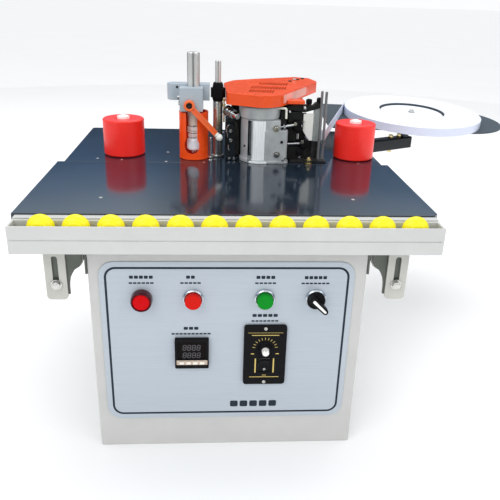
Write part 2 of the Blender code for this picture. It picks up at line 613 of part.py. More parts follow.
def gear_outline(teeth, phase):
    """Trapezoid teeth; one tooth's middle points at the phase angle."""
    pitch_r = GEAR_MODULE * teeth / 2
    tip, root = pitch_r + 0.90 * GEAR_MODULE, pitch_r - 1.20 * GEAR_MODULE
    step = 2 * math.pi / teeth
    outline = []
    for tooth in range(teeth):
        middle = phase + tooth * step
        for offset, radius in ((-0.29, root), (-0.12, tip), (0.12, tip), (0.29, root)):
            turn = middle + offset * step
            outline.append((radius * math.cos(turn), radius * math.sin(turn)))
    return outline


def gear(teeth, phase, x, y):
    wheel = flat_plate("gear_wheel", gear_outline(teeth, phase), GEAR_Z1 - GEAR_Z0)
    wheel.location = (x, y, (GEAR_Z0 + GEAR_Z1) / 2)
    return wheel


def glue_pot():
    """Heated glue pot casting with the slot where the glue roller meets the tape."""
    z0 = TABLE_TOP + GAP
    profile = [(0, POT_TOP), (POT_R, POT_TOP), (POT_R - 0.0015, 0.4440), (POT_R - 0.0030, 0.4425),
               (POT_R - 0.0030, 0.3755), (POT_R - 0.0015, 0.3735), (POT_R - 0.0015, z0), (0, z0)]
    pot = turned("glue_pot", profile, (POT_X, POT_Y, 0), "cast_grey", 32)
    join(pot, box("pot_block", (0.070, 0.046, z0), (0.106, 0.122, 0.4245)),
         box("pot_flange", (0.068, 0.047, 0.4235), (0.0925, 0.115, 0.4435)))
    cut(pot, rod("pot_bore", POT_BORE_R, POT_FLOOR, POT_TOP + 0.01, POT_X, POT_Y, None, 28),
        box("pot_slot", (0.037, 0.030, 0.384), (0.045, 0.062, 0.441)),
        rod("shaft_bore", SHAFT_R + 0.001, 0.35, 0.47, DRIVE_X, DRIVE_Y, None, 16),
        rod("stub_pocket", 0.0044, POT_FLOOR - 0.005, POT_FLOOR + 0.001, GLUE_X, GLUE_Y, None, 12))


def glue_roller():
    """Glue roller with its shaft and gear in one piece."""
    profile = [(0, GEAR_Z1 + 0.001), (0.005, GEAR_Z1 + 0.001), (0.005, 0.4420),
               (GLUE_ROLLER_R - 0.001, 0.4420), (GLUE_ROLLER_R, 0.4410), (GLUE_ROLLER_R, 0.3820),
               (GLUE_ROLLER_R - 0.001, 0.3810), (0.004, 0.3810), (0.004, POT_FLOOR - 0.004),
               (0, POT_FLOOR - 0.004)]
    roller = turned("glue_roller", profile, (GLUE_X, GLUE_Y, 0), "steel", 20)
    join(roller, gear(GLUE_TEETH, DRIVE_ANGLE + math.pi / GLUE_TEETH, GLUE_X, GLUE_Y))


def drive_shaft():
    """Vertical drive shaft from the motor, with the driving gear."""
    shaft = rod("drive_shaft", SHAFT_R, 0.205, GEAR_Z1 + 0.001, DRIVE_X, DRIVE_Y, "steel")
    join(shaft, gear(DRIVE_TEETH, DRIVE_ANGLE + math.pi, DRIVE_X, DRIVE_Y))


def head_cover():
    """Orange sheet cover over the gears, open underneath."""
    height = HOOD_TOP - HOOD_BOTTOM
    cover = flat_plate("head_cover", HOOD_OUTLINE, height, "orange_paint")
    cover.location.z = (HOOD_TOP + HOOD_BOTTOM) / 2
    inner = flat_plate("cover_inner", inset(HOOD_OUTLINE, HOOD_WALL), height)
    inner.location.z = cover.location.z - HOOD_WALL
    cut(cover, inner)


def inset(outline, distance):
    """Move each side of a convex or nearly convex counter-clockwise outline inwards."""
    moved = []
    count = len(outline)
    for i, (x, y) in enumerate(outline):
        (ax, ay), (bx, by) = outline[i - 1], outline[(i + 1) % count]
        n1, n2 = unit_normal(ax, ay, x, y), unit_normal(x, y, bx, by)
        scale = distance / (1 + n1[0] * n2[0] + n1[1] * n2[1])
        moved.append((x + (n1[0] + n2[0]) * scale, y + (n1[1] + n2[1]) * scale))
    return moved


def unit_normal(ax, ay, bx, by):
    length = math.hypot(bx - ax, by - ay)
    return (-(by - ay) / length, (bx - ax) / length)


def head_frame():
    """Cast housing that carries the back of the head cover."""
    z0, top, wall = TABLE_TOP + GAP, HOOD_BOTTOM - GAP, 0.006
    x0, x1, y0, y1 = 0.040, 0.142, 0.150, 0.225
    frame = box("head_frame", (x0, y0, z0), (x1, y1, top), "black_paint")
    cut(frame, box("frame_bay", (x0 + wall, y0 + wall, z0 + wall), (x1 - wall, y1 - wall, top + 0.01)))


def end_cutter():
    """Black end-cutter block with its chrome spring barrel."""
    block = box("end_cutter", (-0.0035, 0.066, TABLE_TOP + GAP), (0.0190, 0.108, 0.442), "black_paint")
    barrel = turned("spring_barrel", [(0, 0.0205), (0.0048, 0.0205), (0.0060, 0.0190), (0.0060, 0.0115),
                                      (0.0085, 0.0105), (0.0085, -0.006), (0, -0.006)],
                    (0.005, 0.082, 0.4495), None, 20)
    barrel.rotation_euler = (math.radians(105), 0, math.radians(37))
    join(block, barrel)


def tape_guide():
    """Foot plate with the grey guide plate, the white strip, two posts and the pinch axle."""
    z0 = TABLE_TOP + GAP
    foot_top = z0 + 0.004
    guide = box("tape_guide", (0.112, 0.052, z0), (0.176, 0.100, foot_top), "cast_grey")
    join(guide,
         box("guide_plate", (0.152, 0.0735, foot_top - 0.001), (0.1676, 0.0795, 0.465)),
         box("white_plate", (0.1345, 0.0720, foot_top - 0.001), (0.1525, 0.0780, 0.450)),
         box("guide_foot", (0.134, 0.0785, foot_top - 0.001), (0.1676, 0.0990, 0.401)),
         rod("guide_post_1", 0.0016, foot_top - 0.001, 0.489, 0.1634, 0.0680, None, 10),
         rod("guide_post_2", 0.0016, foot_top - 0.001, 0.489, 0.1710, 0.0680, None, 10),
         rod("pinch_axle", 0.0035, foot_top - 0.001, 0.452, PINCH_X, PINCH_Y, None, 12))


def feed_roller():
    """Rubber pinch roller that holds the tape against the guide."""
    bore, z0, z1 = 0.0039, 0.3745, 0.440
    profile = [(bore, z1), (PINCH_R - 0.001, z1), (PINCH_R, z1 - 0.001), (PINCH_R, z0 + 0.001),
               (PINCH_R - 0.001, z0), (bore, z0)]
    turned("feed_roller", profile, (PINCH_X, PINCH_Y, 0), "rubber", 20)


# ---------------------------------------------------------------- tape

def lean(target, along):
    """Lean a piece like the tray, at a distance below the coil's top face along its axis."""
    target.rotation_mode = "XYZ"
    target.rotation_euler = (TILT_BACK, TILT_RIGHT, 0)
    axis = target.rotation_euler.to_matrix() @ Vector((0, 0, 1))
    target.location = Vector((COIL_X, COIL_Y, COIL_TOP_Z)) - axis * along
    return target


def tape_coil():
    profile = [(COIL_HOLE_R, 0), (COIL_R, 0), (COIL_R, -COIL_T), (COIL_HOLE_R, -COIL_T)]
    lean(turned("tape_coil", profile, (0, 0, 0), "tape_white", 48), 0)


def tape_tray():
    """Oblong tray plate with the coil's hub, on a post that stands on the arm's end."""
    inner = TRAY_HALF_L - TRAY_HALF_W
    outline = arc(inner, 0, TRAY_HALF_W, -90, 90, 12)
    outline += rounded_rectangle(-TRAY_HALF_L, -TRAY_HALF_W, 0, TRAY_HALF_W, 0.015, 3)[8:]
    tray = flat_plate("tape_tray", outline, TRAY_T, "slate_paint")
    lean(tray, COIL_T + GAP + TRAY_T / 2)
    hub = turned("coil_hub", [(0, HUB_H), (HUB_R, HUB_H), (HUB_R, -0.001), (0, -0.001)], (0, 0, 0),
                 None, 32)
    lean(hub, COIL_T + GAP)
    post_x, post_y = arm_point(-0.015)
    post = rod("tray_post", 0.011, ARM_TOP + GAP, 0.3935, post_x, post_y, None, 16)
    join(tray, hub, post)


def arm_point(along):
    """A point on the arm's centre line, measured from its outer end."""
    return (ARM_END_X + along * math.cos(ARM_ANGLE), ARM_END_Y + along * math.sin(ARM_ANGLE))


def tray_arm():
    """Square tube bolted under the table, closed at its outer end."""
    half, inner = ARM_SIDE / 2, ARM_SIDE / 2 - ARM_WALL
    place = (ARM_END_X, ARM_END_Y, ARM_TOP - half)
    turn = (0, 0, ARM_ANGLE)
    arm = box("tray_arm", (-ARM_LENGTH, -half, -half), (0, half, half), "black_paint", place, turn)
    bore = box("arm_bore", (-ARM_LENGTH - 0.01, -inner, -inner), (-0.003, inner, inner), None, place,
               turn)
    foot_x, foot_y = arm_point(-ARM_LENGTH + 0.030)
    foot_top = ARM_TOP - ARM_SIDE + 0.001
    foot = box("arm_foot", (foot_x - 0.020, foot_y - 0.012, CABINET_H + GAP),
               (foot_x + 0.020, foot_y + 0.012, foot_top))
    cut(arm, bore)
    join(arm, foot)


def ribbon(name, path, thickness, height, slot):
    """An upright ribbon along a flat path, as one closed band."""
    left, right = [], []
    for i, (x, y) in enumerate(path):
        ax, ay = path[max(i - 1, 0)]
        bx, by = path[min(i + 1, len(path) - 1)]
        nx, ny = unit_normal(ax, ay, bx, by)
        left.append((x + nx * thickness / 2, y + ny * thickness / 2))
        right.append((x - nx * thickness / 2, y - ny * thickness / 2))
    return flat_plate(name, right + left[::-1], height, slot)


def tape_strip():
    """Tape running straight from the coil's left side, then past the pinch roller."""
    dx, dy = COIL_X - TAPE_BEND_X, COIL_Y - TAPE_Y
    reach, radius = math.hypot(dx, dy), COIL_R + 0.0014
    heading = math.atan2(dy, dx) + math.asin(radius / reach)
    length = math.sqrt(reach ** 2 - radius ** 2)
    bend = arc(TAPE_BEND_X - 0.006, TAPE_Y + 0.008, 0.008, -90, math.degrees(heading) - 90, 6)
    end_x, end_y = TAPE_BEND_X + length * math.cos(heading), TAPE_Y + length * math.sin(heading)
    path = [(TAPE_END_X, TAPE_Y)] + bend + [(end_x, end_y)]
    strip = ribbon("tape_strip", path, TAPE_T, TAPE_H, "tape_white")
    strip.location.z = TAPE_Z


# ---------------------------------------------------------------- assembly

def build():
    clear_scene()
    cutters = control_cutters()
    cabinet(cutters)
    cabinet_back()
    control_panel(cutters)
    drive_motor()
    pilot_lamp()
    bezel("red_button_bezel", RED_X, "bezel_metal")
    push_button("red_button", RED_X, "red_plastic")
    bezel("green_button_bezel", GREEN_X, "bezel_metal")
    push_button("green_button", GREEN_X, "green_plastic")
    selector()
    temperature_controller()
    speed_controller()
    table()
    roller_rail()
    rail_rollers()
    rail_supports()
    guide_rollers()
    trim_tube()
    trim_column()
    trim_block()
    clamp_lever()
    guide_rod()
    star_knob()
    glue_pot()
    glue_roller()
    drive_shaft()
    head_cover()
    head_frame()
    end_cutter()
    tape_guide()
    feed_roller()
    tape_coil()
    tape_tray()
    tray_arm()
    tape_strip()


build()
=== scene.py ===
from math import atan2, cos, degrees, hypot, pi, radians, sin

import bmesh
import bpy
from mathutils import Matrix, Vector


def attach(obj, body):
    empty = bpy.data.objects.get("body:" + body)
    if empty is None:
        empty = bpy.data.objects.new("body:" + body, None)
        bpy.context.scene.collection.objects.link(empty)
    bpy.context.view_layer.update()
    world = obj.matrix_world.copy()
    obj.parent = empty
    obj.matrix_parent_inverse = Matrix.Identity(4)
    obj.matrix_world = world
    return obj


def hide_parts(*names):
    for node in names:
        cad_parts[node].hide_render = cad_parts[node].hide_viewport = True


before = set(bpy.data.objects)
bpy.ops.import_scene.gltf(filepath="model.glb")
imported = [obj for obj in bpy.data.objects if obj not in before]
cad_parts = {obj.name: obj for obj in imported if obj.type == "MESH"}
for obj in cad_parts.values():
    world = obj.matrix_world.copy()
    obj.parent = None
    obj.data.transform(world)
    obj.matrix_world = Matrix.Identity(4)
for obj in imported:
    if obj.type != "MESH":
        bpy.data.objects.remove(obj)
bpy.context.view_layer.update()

# Looks of a bench-top edge banding machine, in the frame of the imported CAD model:
# +Z up, +X to the operator's right, +Y away from the operator.
# Lengths are in millimetres. The shape functions bring them to the frame's metres.

# Camera: place and the direction it looks in
CAMERA_PLACE = (-25.84, -979.4, 639.8)
CAMERA_YAW, CAMERA_PITCH, CAMERA_ROLL = 0.0707, 0.4, 0.0306
CAMERA_LENS = 43.86

# Cabinet and panel
CABINET_X, CABINET_Y, CABINET_H, SHEET = 190, 230, 327.5, 1.5
BEAM_W = 18
PANEL_Y = -231.5
CONTROL_Z = 250
CAPTION_DROP, INK_DEPTH = 8.8, 0.25   # the drop is from a caption's first row to its second
LAMP_X, RED_X, GREEN_X, SELECTOR_X = -119, -49, 49.5, 120.5
METER_X, METER_Z, METER_HALF = -51.5, 164.5, 24
SPEED_X, SPEED_Z, SPEED_HALF_W, SPEED_HALF_H = 52.7, 160, 30.5, 49
KNOB_Z = 171.5
ROCKER_X, ROCKER_Z = 52.5, 143.5

# Table, rail and guide rollers
TABLE_TOP, TABLE_UNDER = 368, 358
DECK = TABLE_TOP + 0.3   # foot of whatever stands on the table, a hair above it
RAIL_HALF, RAIL_Y0, RAIL_Y1, RAIL_Z0, RAIL_Z1, RAIL_WALL = 279, -260, -232, 327.8, 365, 3
ROLLER_Y, ROLLER_Z, ROLLER_R = -246, 359, 17.8
ROLLER_COUNT, ROLLER_MID_X, ROLLER_PITCH = 12, 1.7, 43.86
LEG_X, BOLT_Z = 231, 272.7
GUIDES = {"left": (-178.7, 105.3), "right": (232.6, 97.7)}
GUIDE_R, GUIDE_H = 35.8, 63

# Trimming unit
COLUMN_X, COLUMN_Y, COLUMN_R, COLUMN_TOP = -55, 84.5, 10.5, 546
LEVER_X, LEVER_Y, LEVER_Z, LEVER_ANGLE = -61.7, 53.5, 462.7, radians(46.0)
LEVER_REACH = 72.5
ROD_X, ROD_Y, ROD_TOP = -13.4, 93.5, 532.6

# Gluing head
POT_X, POT_Y, POT_BORE_R, POT_TOP = 59, 77, 27.5, 463.5
DRIVE_X, DRIVE_Y = 80.826, 108.596
HOOD_BOTTOM, HOOD_TOP = 465.2, 485
HOOD_OUTLINE = [(-2, 176), (1, 59), (24.3, 47.5), (54.5, 30.8), (74.5, 32.5), (93, 47.5),
    (179, 221), (170, 268), (142, 283), (62, 243), (16, 214)]
PINCH_X, PINCH_Y = 121, 94

# Tape coil, tray and arm
COIL_PLACE, TILT_BACK, TILT_RIGHT = (412.7, 343.5, 412.4), 0.064, 0.026
COIL_R, COIL_HOLE_R, COIL_T = 146, 69, 17
ARM_END, ARM_ANGLE, ARM_SIDE = (411.1, 340.7), atan2(0.4685, 0.8835), 25

MM = 0.001
HERE = Matrix.Identity(4)
SHARP = radians(41)      # edges that bend more than this stay sharp
REFLECTION_STREAK_TURN = -54           # degrees that turn the bars' painted reflection streaks towards the camera


# ---------------------------------------------------------------- places

def at(x, y, z):
    return Matrix.Translation((x * MM, y * MM, z * MM))


def up(z):
    return at(0, 0, z)


def facing(x, z, y=PANEL_Y):
    """A place on an upright face: local Z comes out towards the operator, local Y is up."""
    return at(x, y, z) @ spin(pi / 2, "X")


def spin(angle, axis="Z"):
    return Matrix.Rotation(angle, 4, axis)


def turn(axis, by):
    """A turn given in degrees."""
    return spin(radians(by), axis)


# ---------------------------------------------------------------- finishes

def fill(made, **inputs):
    for name, value in inputs.items():
        made.inputs[name.replace("_", " ")].default_value = value


def node(tree, kind, **inputs):
    made = tree.nodes.new(kind)
    fill(made, **inputs)
    return made


def link(source, output, target, socket):
    source.id_data.links.new(source.outputs[output], target.inputs[socket])


def painted_reflection_streaks(tree, place, shade, count):
    """Darken a colour in lengthwise streaks round local Z: painted reflection, the dark sides of a
    polished bar.
    """
    angle = tree.nodes.new("ShaderNodeTexGradient")
    angle.gradient_type = "RADIAL"
    link(place, "Object", angle, "Vector")
    wave = tree.nodes.new("ShaderNodeMath")
    wave.operation = "PINGPONG"
    wave.inputs[1].default_value = 0.5 / count
    link(angle, "Fac", wave, 0)
    # dark sets how far the painted reflection streaks darken the colour
    dark = node(tree, "ShaderNodeMapRange", From_Min=0.04 / count, From_Max=0.22 / count,
        To_Min=0.38, To_Max=1.0)
    dark.interpolation_type = "SMOOTHSTEP"
    link(wave, 0, dark, "Value")
    scaled = tree.nodes.new("ShaderNodeVectorMath")
    scaled.operation = "SCALE"
    tree.links.new(shade, scaled.inputs["Vector"])
    link(dark, "Result", scaled, "Scale")
    return scaled.outputs["Vector"]


def finish(name, slot, colour, rough, metal=0.0, tone=0.06, grain=25.0, stretch=(1, 1, 1),
        bump=0.15, fine=900.0, rings=0.0, coat=0.0, glow=0.0, rough_spread=0.08, ior=1.5, sheen=0.0,
        streaks=0):
    """A Principled material with uneven colour and gloss, and a fine relief, all from noise."""
    made = bpy.data.materials.new(name)
    made.use_nodes = True
    made["slot"] = slot
    tree = made.node_tree
    shader = tree.nodes["Principled BSDF"]
    fill(shader, Metallic=metal, IOR=ior, Coat_Weight=coat, Coat_Roughness=0.08, Sheen_Weight=sheen)
    # A glow gives off the surface's own colour: the lit lamp on the pilot lamp's lens, painted
    # light elsewhere
    if glow:
        fill(shader, Emission_Color=(*colour, 1), Emission_Strength=glow)
    place = tree.nodes.new("ShaderNodeTexCoord")
    scaled = node(tree, "ShaderNodeMapping", Scale=stretch)
    link(place, "Object", scaled, "Vector")

    broad = node(tree, "ShaderNodeTexNoise", Scale=grain, Detail=5.0, Roughness=0.6)
    link(scaled, "Vector", broad, "Vector")
    ramp = tree.nodes.new("ShaderNodeValToRGB")
    ramp.color_ramp.elements[0].position = 0.3
    ramp.color_ramp.elements[1].position = 0.7
    ramp.color_ramp.elements[0].color = (*[c * (1 - tone) for c in colour], 1)
    ramp.color_ramp.elements[1].color = (*[min(1.0, c * (1 + tone)) for c in colour], 1)
    link(broad, "Fac", ramp, "Fac")
    shade = ramp.outputs["Color"]
    # Optional dark streaks round the axis: painted reflection in the base colour
    if streaks:
        shade = painted_reflection_streaks(tree, place, shade, streaks)
    tree.links.new(shade, shader.inputs["Base Color"])

    gloss = node(tree, "ShaderNodeMapRange", To_Min=max(0.02, rough - rough_spread),
        To_Max=rough + rough_spread)
    link(broad, "Fac", gloss, "Value")
    link(gloss, "Result", shader, "Roughness")

    relief = node(tree, "ShaderNodeBump", Strength=bump, Distance=0.0003)
    if rings:
        height = node(tree, "ShaderNodeTexWave", Scale=rings, Distortion=0.6, Detail=2.0)
        height.wave_type = "RINGS"
        height.rings_direction = "Z"
        link(place, "Object", height, "Vector")
    else:
        height = node(tree, "ShaderNodeTexNoise", Scale=fine, Detail=2.0)
        link(scaled, "Vector", height, "Vector")
    link(height, "Fac", relief, "Height")
    link(relief, "Normal", shader, "Normal")
    return made


LATHED = (1, 1, 60)      # stretch that draws noise out into rings round a turned piece

PAINT = finish("white powder coat", "white_paint", (0.51, 0.51, 0.495), 0.36, bump=0.25, fine=700,
    tone=0.03)
RAIL_PAINT = finish("rail powder coat", "white_paint", (0.54, 0.545, 0.53), 0.32, bump=0.2,
    tone=0.03)
LABEL = finish("printed panel", "label_blue", (0.43, 0.48, 0.535), 0.38, metal=0.15,
    stretch=(1, 1, 40), grain=12, tone=0.035, bump=0.04)
INK = finish("panel ink", "label_blue", (0.012, 0.02, 0.032), 0.4, bump=0.05, ior=1.3)
GLOSS = finish("black table laminate", "black_gloss", (0.010, 0.018, 0.030), 0.13, grain=8,
    tone=0.25, rough_spread=0.035, bump=0.02, fine=300, coat=0.3)
PLASTIC = finish("black moulded plastic", "black_plastic", (0.007, 0.007, 0.008), 0.42, bump=0.2,
    ior=1.16)
GLASS = finish("dark display window", "black_plastic", (0.006, 0.004, 0.004), 0.16, bump=0.01,
    ior=1.15)
SEGMENT = finish("unlit display segment", "black_plastic", (0.10, 0.10, 0.105), 0.5, bump=0.02)
BLACK = finish("black paint", "black_paint", (0.010, 0.013, 0.017), 0.28, ior=1.4, bump=0.2,
    tone=0.2)
OXIDE = finish("black oxide steel", "black_paint", (0.040, 0.038, 0.038), 0.30, metal=0.5, tone=0.5,
    grain=90)
RED = finish("red cap", "red_plastic", (0.58, 0.008, 0.003), 0.36, bump=0.05, ior=1.2)
LENS = finish("red lamp lens", "red_plastic", (0.52, 0.001, 0.003), 0.16, bump=0.03, glow=0.06,
    ior=1.18)
LAMP_RING = finish("dark red lamp ring", "red_plastic", (0.060, 0.002, 0.008), 0.2, ior=1.35)
GREEN = finish("green cap", "green_plastic", (0.001, 0.235, 0.014), 0.36, bump=0.05, ior=1.2)
BEZEL = finish("satin control ring", "bezel_metal", (0.66, 0.70, 0.74), 0.26, metal=1.0,
    stretch=LATHED)
KEYS = finish("beige silicone", "cream_rubber", (0.62, 0.50, 0.40), 0.55, bump=0.1)
KEY_FACE = finish("light silicone key", "cream_rubber", (0.80, 0.74, 0.66), 0.5, bump=0.1)
WHITE = finish("white moulded plastic", "white_plastic", (0.82, 0.82, 0.78), 0.3, bump=0.05)
GOLD = finish("gold ink", "black_plastic", (0.62, 0.47, 0.14), 0.35, metal=0.3)
YELLOW = finish("yellow nylon", "yellow_plastic", (0.95, 0.83, 0.003), 0.36, bump=0.06, tone=0.02)
ZINC = finish("grey bracket paint", "zinc", (0.47, 0.47, 0.43), 0.4, bump=0.2)
BOLTS = finish("plated bolts", "zinc", (0.62, 0.61, 0.58), 0.25, metal=1.0)
URETHANE = finish("red polyurethane", "red_polyurethane", (0.98, 0.024, 0.016), 0.32,
    stretch=LATHED, grain=20, tone=0.05, bump=0.12)
STEEL = finish("turned steel", "steel", (0.66, 0.67, 0.68), 0.24, metal=1.0, stretch=LATHED,
    grain=20)
ORANGE = finish("orange gloss paint", "orange_paint", (0.95, 0.085, 0.008), 0.28, ior=1.35,
    coat=0.05, bump=0.12, tone=0.03)
HOOD_PAINT = finish("cover gloss paint", "orange_paint", (0.86, 0.088, 0.012), 0.28, ior=1.4,
    coat=0.05, bump=0.15, tone=0.03)
# Dark sheet colour for under the vents: painted shade that darkens the slots
SHADE = finish("painted shade under the vents", "orange_paint", (0.055, 0.012, 0.008), 0.6)
LEVER = finish("orange lever paint", "orange_lever", (0.94, 0.16, 0.035), 0.3, coat=0.25)
CHROME = finish("hard chrome", "chrome", (0.78, 0.78, 0.77), 0.09, metal=1.0, stretch=LATHED,
    grain=20, tone=0.04, rough_spread=0.03, bump=0.03)
CAST = finish("grey casting", "cast_grey", (0.50, 0.53, 0.54), 0.36, metal=0.30, grain=60,
    tone=0.14, bump=0.35, fine=450)
# Near-white, barely metallic machined face: painted highlight of the light on the pot's polished
# front
MILLED_PAINTED_HIGHLIGHT = finish("machined face with painted highlight", "cast_grey", (0.88, 0.92, 0.94), 0.28, metal=0.10,
    stretch=(40, 40, 1), grain=20, bump=0.08)
BLOCK_GREY = finish("grey painted block", "cast_grey", (0.44, 0.51, 0.57), 0.34, metal=0.10,
    bump=0.15)
# The bar and the sleeve carry dark lengthwise streaks in their colour: painted reflection
BAR = finish("ground steel bar", "chrome", (0.72, 0.73, 0.71), 0.27, metal=0.45,
    stretch=(30, 30, 0.3), grain=20, tone=0.08, streaks=5)
SLEEVE = finish("polished sleeve", "chrome", (0.60, 0.60, 0.58), 0.14, metal=0.85, tone=0.05,
    streaks=4)
# Pale, barely metallic and glowing: painted light on the nuts and the knurled wheel
PALE_STEEL_PAINTED_GLOW = finish("plated nuts brightened by painted glow", "chrome", (0.90, 0.91, 0.90), 0.3, metal=0.15,
    stretch=LATHED, bump=0.05, glow=0.10)
PALE_BLUE_PAINTED_GLOW = finish("knurled wheel brightened by painted glow", "steel", (0.74, 0.84, 0.90), 0.3, metal=0.15,
    stretch=LATHED, bump=0.08, glow=0.16)
# Cream: the hanger rod's own colour, and painted light on the column's foot
CREAM = finish("cream rod paint, and painted light on the column foot", "cast_grey", (0.86, 0.86, 0.76), 0.4, bump=0.05)
# The posts carry dark streaks in their colour too: painted reflection, with a painted highlight
# between
POST = finish("dull steel post", "cast_grey", (0.24, 0.24, 0.25), 0.3, metal=0.5, tone=0.3,
    streaks=3)
# Darker copy of the bracket paint: painted shade of the table above the side brackets
BRACKET_PAINTED_SHADE = finish("bracket steel in painted shade", "zinc", (0.095, 0.105, 0.090), 0.35, metal=0.35, tone=0.2)
# Near-black for the channel's lower inside: painted shade between the rollers
CHANNEL_PAINTED_SHADE = finish("painted shade inside the channel", "white_paint", (0.045, 0.05, 0.055), 0.5, tone=0.2)
HOLDER = finish("olive black casting", "black_paint", (0.012, 0.014, 0.012), 0.40, ior=1.35,
    bump=0.4, fine=450, tone=0.25)
RUBBER = finish("black rubber", "rubber", (0.018, 0.018, 0.018), 0.7, bump=0.3, sheen=0.2)
TAPE = finish("wound tape edges", "tape_white", (0.84, 0.87, 0.93), 0.42, rings=420, bump=0.5,
    tone=0.03)
# Upright faces of the tape, bluish grey and darker than the wound edges: painted shade
TAPE_FACE_PAINTED_SHADE = finish("tape face in painted shade", "tape_white", (0.66, 0.70, 0.84), 0.34, bump=0.05, tone=0.03)
SLATE = finish("slate powder coat", "slate_paint", (0.030, 0.046, 0.060), 0.42, bump=0.4, fine=500,
    tone=0.15)
BRASS = finish("brass", "steel", (0.80, 0.66, 0.34), 0.25, metal=1.0)
PAPER = finish("blank pale sticker", "orange_paint", (0.86, 0.40, 0.33), 0.45, bump=0.02, tone=0.15)


# ---------------------------------------------------------------- shapes

def place_object(name, data):
    """A new object in the scene."""
    made = bpy.data.objects.new(name, data)
    bpy.context.scene.collection.objects.link(made)
    return made


def mesh_of(form, place=HERE):
    """A mesh from a bmesh, with smooth faces and its sharp edges marked."""
    bmesh.ops.recalc_face_normals(form, faces=form.faces)
    for face in form.faces:
        face.smooth = True
    for edge in form.edges:
        edge.smooth = edge.calc_face_angle(0.0) < SHARP
    mesh = bpy.data.meshes.new("shape")
    form.to_mesh(mesh)
    form.free()
    mesh.transform(place)
    if place.determinant() < 0:
        mesh.flip_normals()
    return mesh


def softened(points, size, closed=True):
    """The same outline with each corner replaced by a small curve."""
    out = []
    count = len(points)
    for i, corner in enumerate(points):
        if not closed and i in (0, count - 1):
            out.append(corner)
            continue
        corner = Vector(corner)
        before, after = Vector(points[i - 1]), Vector(points[(i + 1) % count])
        reach = min(size, 0.42 * (before - corner).length, 0.42 * (after - corner).length)
        start = corner + (before - corner).normalized() * reach
        end = corner + (after - corner).normalized() * reach
        for t in (0.0, 1 / 3, 2 / 3, 1.0):
            out.append(tuple(start * (1 - t) ** 2 + corner * 2 * t * (1 - t) + end * t ** 2))
    return out


def lathe(profile, place=HERE, steps=72, soft=0.5):
    """Turn (radius, height) points, top to bottom down the outer side, about local Z."""
    closed = profile[0][0] > 0
    form = bmesh.new()
    rings = []
    for radius, height in softened(profile, soft, closed):
        if radius < 1e-7:
            rings.append([form.verts.new((0, 0, height * MM))] * steps)
        else:
            rings.append([form.verts.new((radius * MM * cos(2 * pi * i / steps),
                radius * MM * sin(2 * pi * i / steps), height * MM)) for i in range(steps)])
    pairs = list(zip(rings, rings[1:])) + ([(rings[-1], rings[0])] if closed else [])
    for upper, lower in pairs:
        for i in range(steps):
            j = (i + 1) % steps
            corners = list(dict.fromkeys((upper[i], lower[i], lower[j], upper[j])))
            if len(corners) > 2:
                form.faces.new(corners)
    return mesh_of(form, place)


def plain(inner, outer, top, bottom):
    """Profile of a plain ring, or of a bar where inner is 0, for lathe."""
    return [(inner, top), (outer, top), (outer, bottom), (inner, bottom)]


def ball_profile(radius, steps):
    turns = [i * pi / steps for i in range(steps + 1)]
    return [(radius * sin(t), radius * cos(t)) for t in turns]


def slab(outline, thickness, place=HERE, edge=0.5, holes=()):
    """A flat plate with an outline in local XY, centred on local Z = 0, with soft rims."""
    form = bmesh.new()
    loops = [list(outline), *[list(hole) for hole in holes]]
    rims = []
    for z in (-thickness / 2, thickness / 2):
        rings = [[form.verts.new((x * MM, y * MM, z * MM)) for x, y in loop] for loop in loops]
        edges = [form.edges.new(pair) for ring in rings for pair in zip(ring, ring[1:] + ring[:1])]
        if holes:
            bmesh.ops.triangle_fill(form, use_beauty=True, edges=edges)
        else:
            form.faces.new(rings[0])
        rims.append((rings, edges))
    for low, high in zip(rims[0][0], rims[1][0]):
        for i in range(len(low)):
            j = (i + 1) % len(low)
            form.faces.new((low[i], low[j], high[j], high[i]))
    bmesh.ops.recalc_face_normals(form, faces=form.faces)
    if edge:
        bmesh.ops.bevel(form, geom=rims[0][1] + rims[1][1], offset=edge * MM, segments=2,
            profile=0.5, affect="EDGES", clamp_overlap=True)
    return mesh_of(form, place)


def brick(low, high, place=HERE, edge=0.6):
    """A block between two corners with its edges eased."""
    form = bmesh.new()
    bmesh.ops.create_cube(form, size=1.0)
    bmesh.ops.scale(form, vec=[(b - a) * MM for a, b in zip(low, high)], verts=form.verts)
    bmesh.ops.translate(form, vec=[(a + b) / 2 * MM for a, b in zip(low, high)], verts=form.verts)
    bmesh.ops.bevel(form, geom=form.edges[:], offset=edge * MM, segments=2, profile=0.5,
        affect="EDGES", clamp_overlap=True)
    return mesh_of(form, place)


def tube(points, radius, place=HERE, sides=14):
    """A round bar that follows points, with closed ends."""
    form = bmesh.new()
    path = [Vector(p) * MM for p in points]
    across = (path[1] - path[0]).orthogonal().normalized()
    rings = []
    for i, point in enumerate(path):
        along = (path[min(i + 1, len(path) - 1)] - path[max(i - 1, 0)]).normalized()
        across = (across - along * across.dot(along)).normalized()
        other = along.cross(across)
        rings.append([form.verts.new(point + radius * MM * (across * cos(2 * pi * k / sides)
            + other * sin(2 * pi * k / sides))) for k in range(sides)])
    for a, b in zip(rings, rings[1:]):
        for k in range(sides):
            m = (k + 1) % sides
            form.faces.new((a[k], a[m], b[m], b[k]))
    form.faces.new(rings[0])
    form.faces.new(rings[-1])
    return mesh_of(form, place)


def arc(cx, cy, radius, start, end, steps):
    turns = [radians(start + (end - start) * i / steps) for i in range(steps + 1)]
    return [(cx + radius * cos(t), cy + radius * sin(t)) for t in turns]


def circle(radius, cx=0.0, cy=0.0, steps=40):
    return arc(cx, cy, radius, 0, 360 - 360 / steps, steps - 1)


def polygon(sides, across):
    """A regular polygon by its width across the flats."""
    return circle(across / 2 / cos(pi / sides), steps=sides)


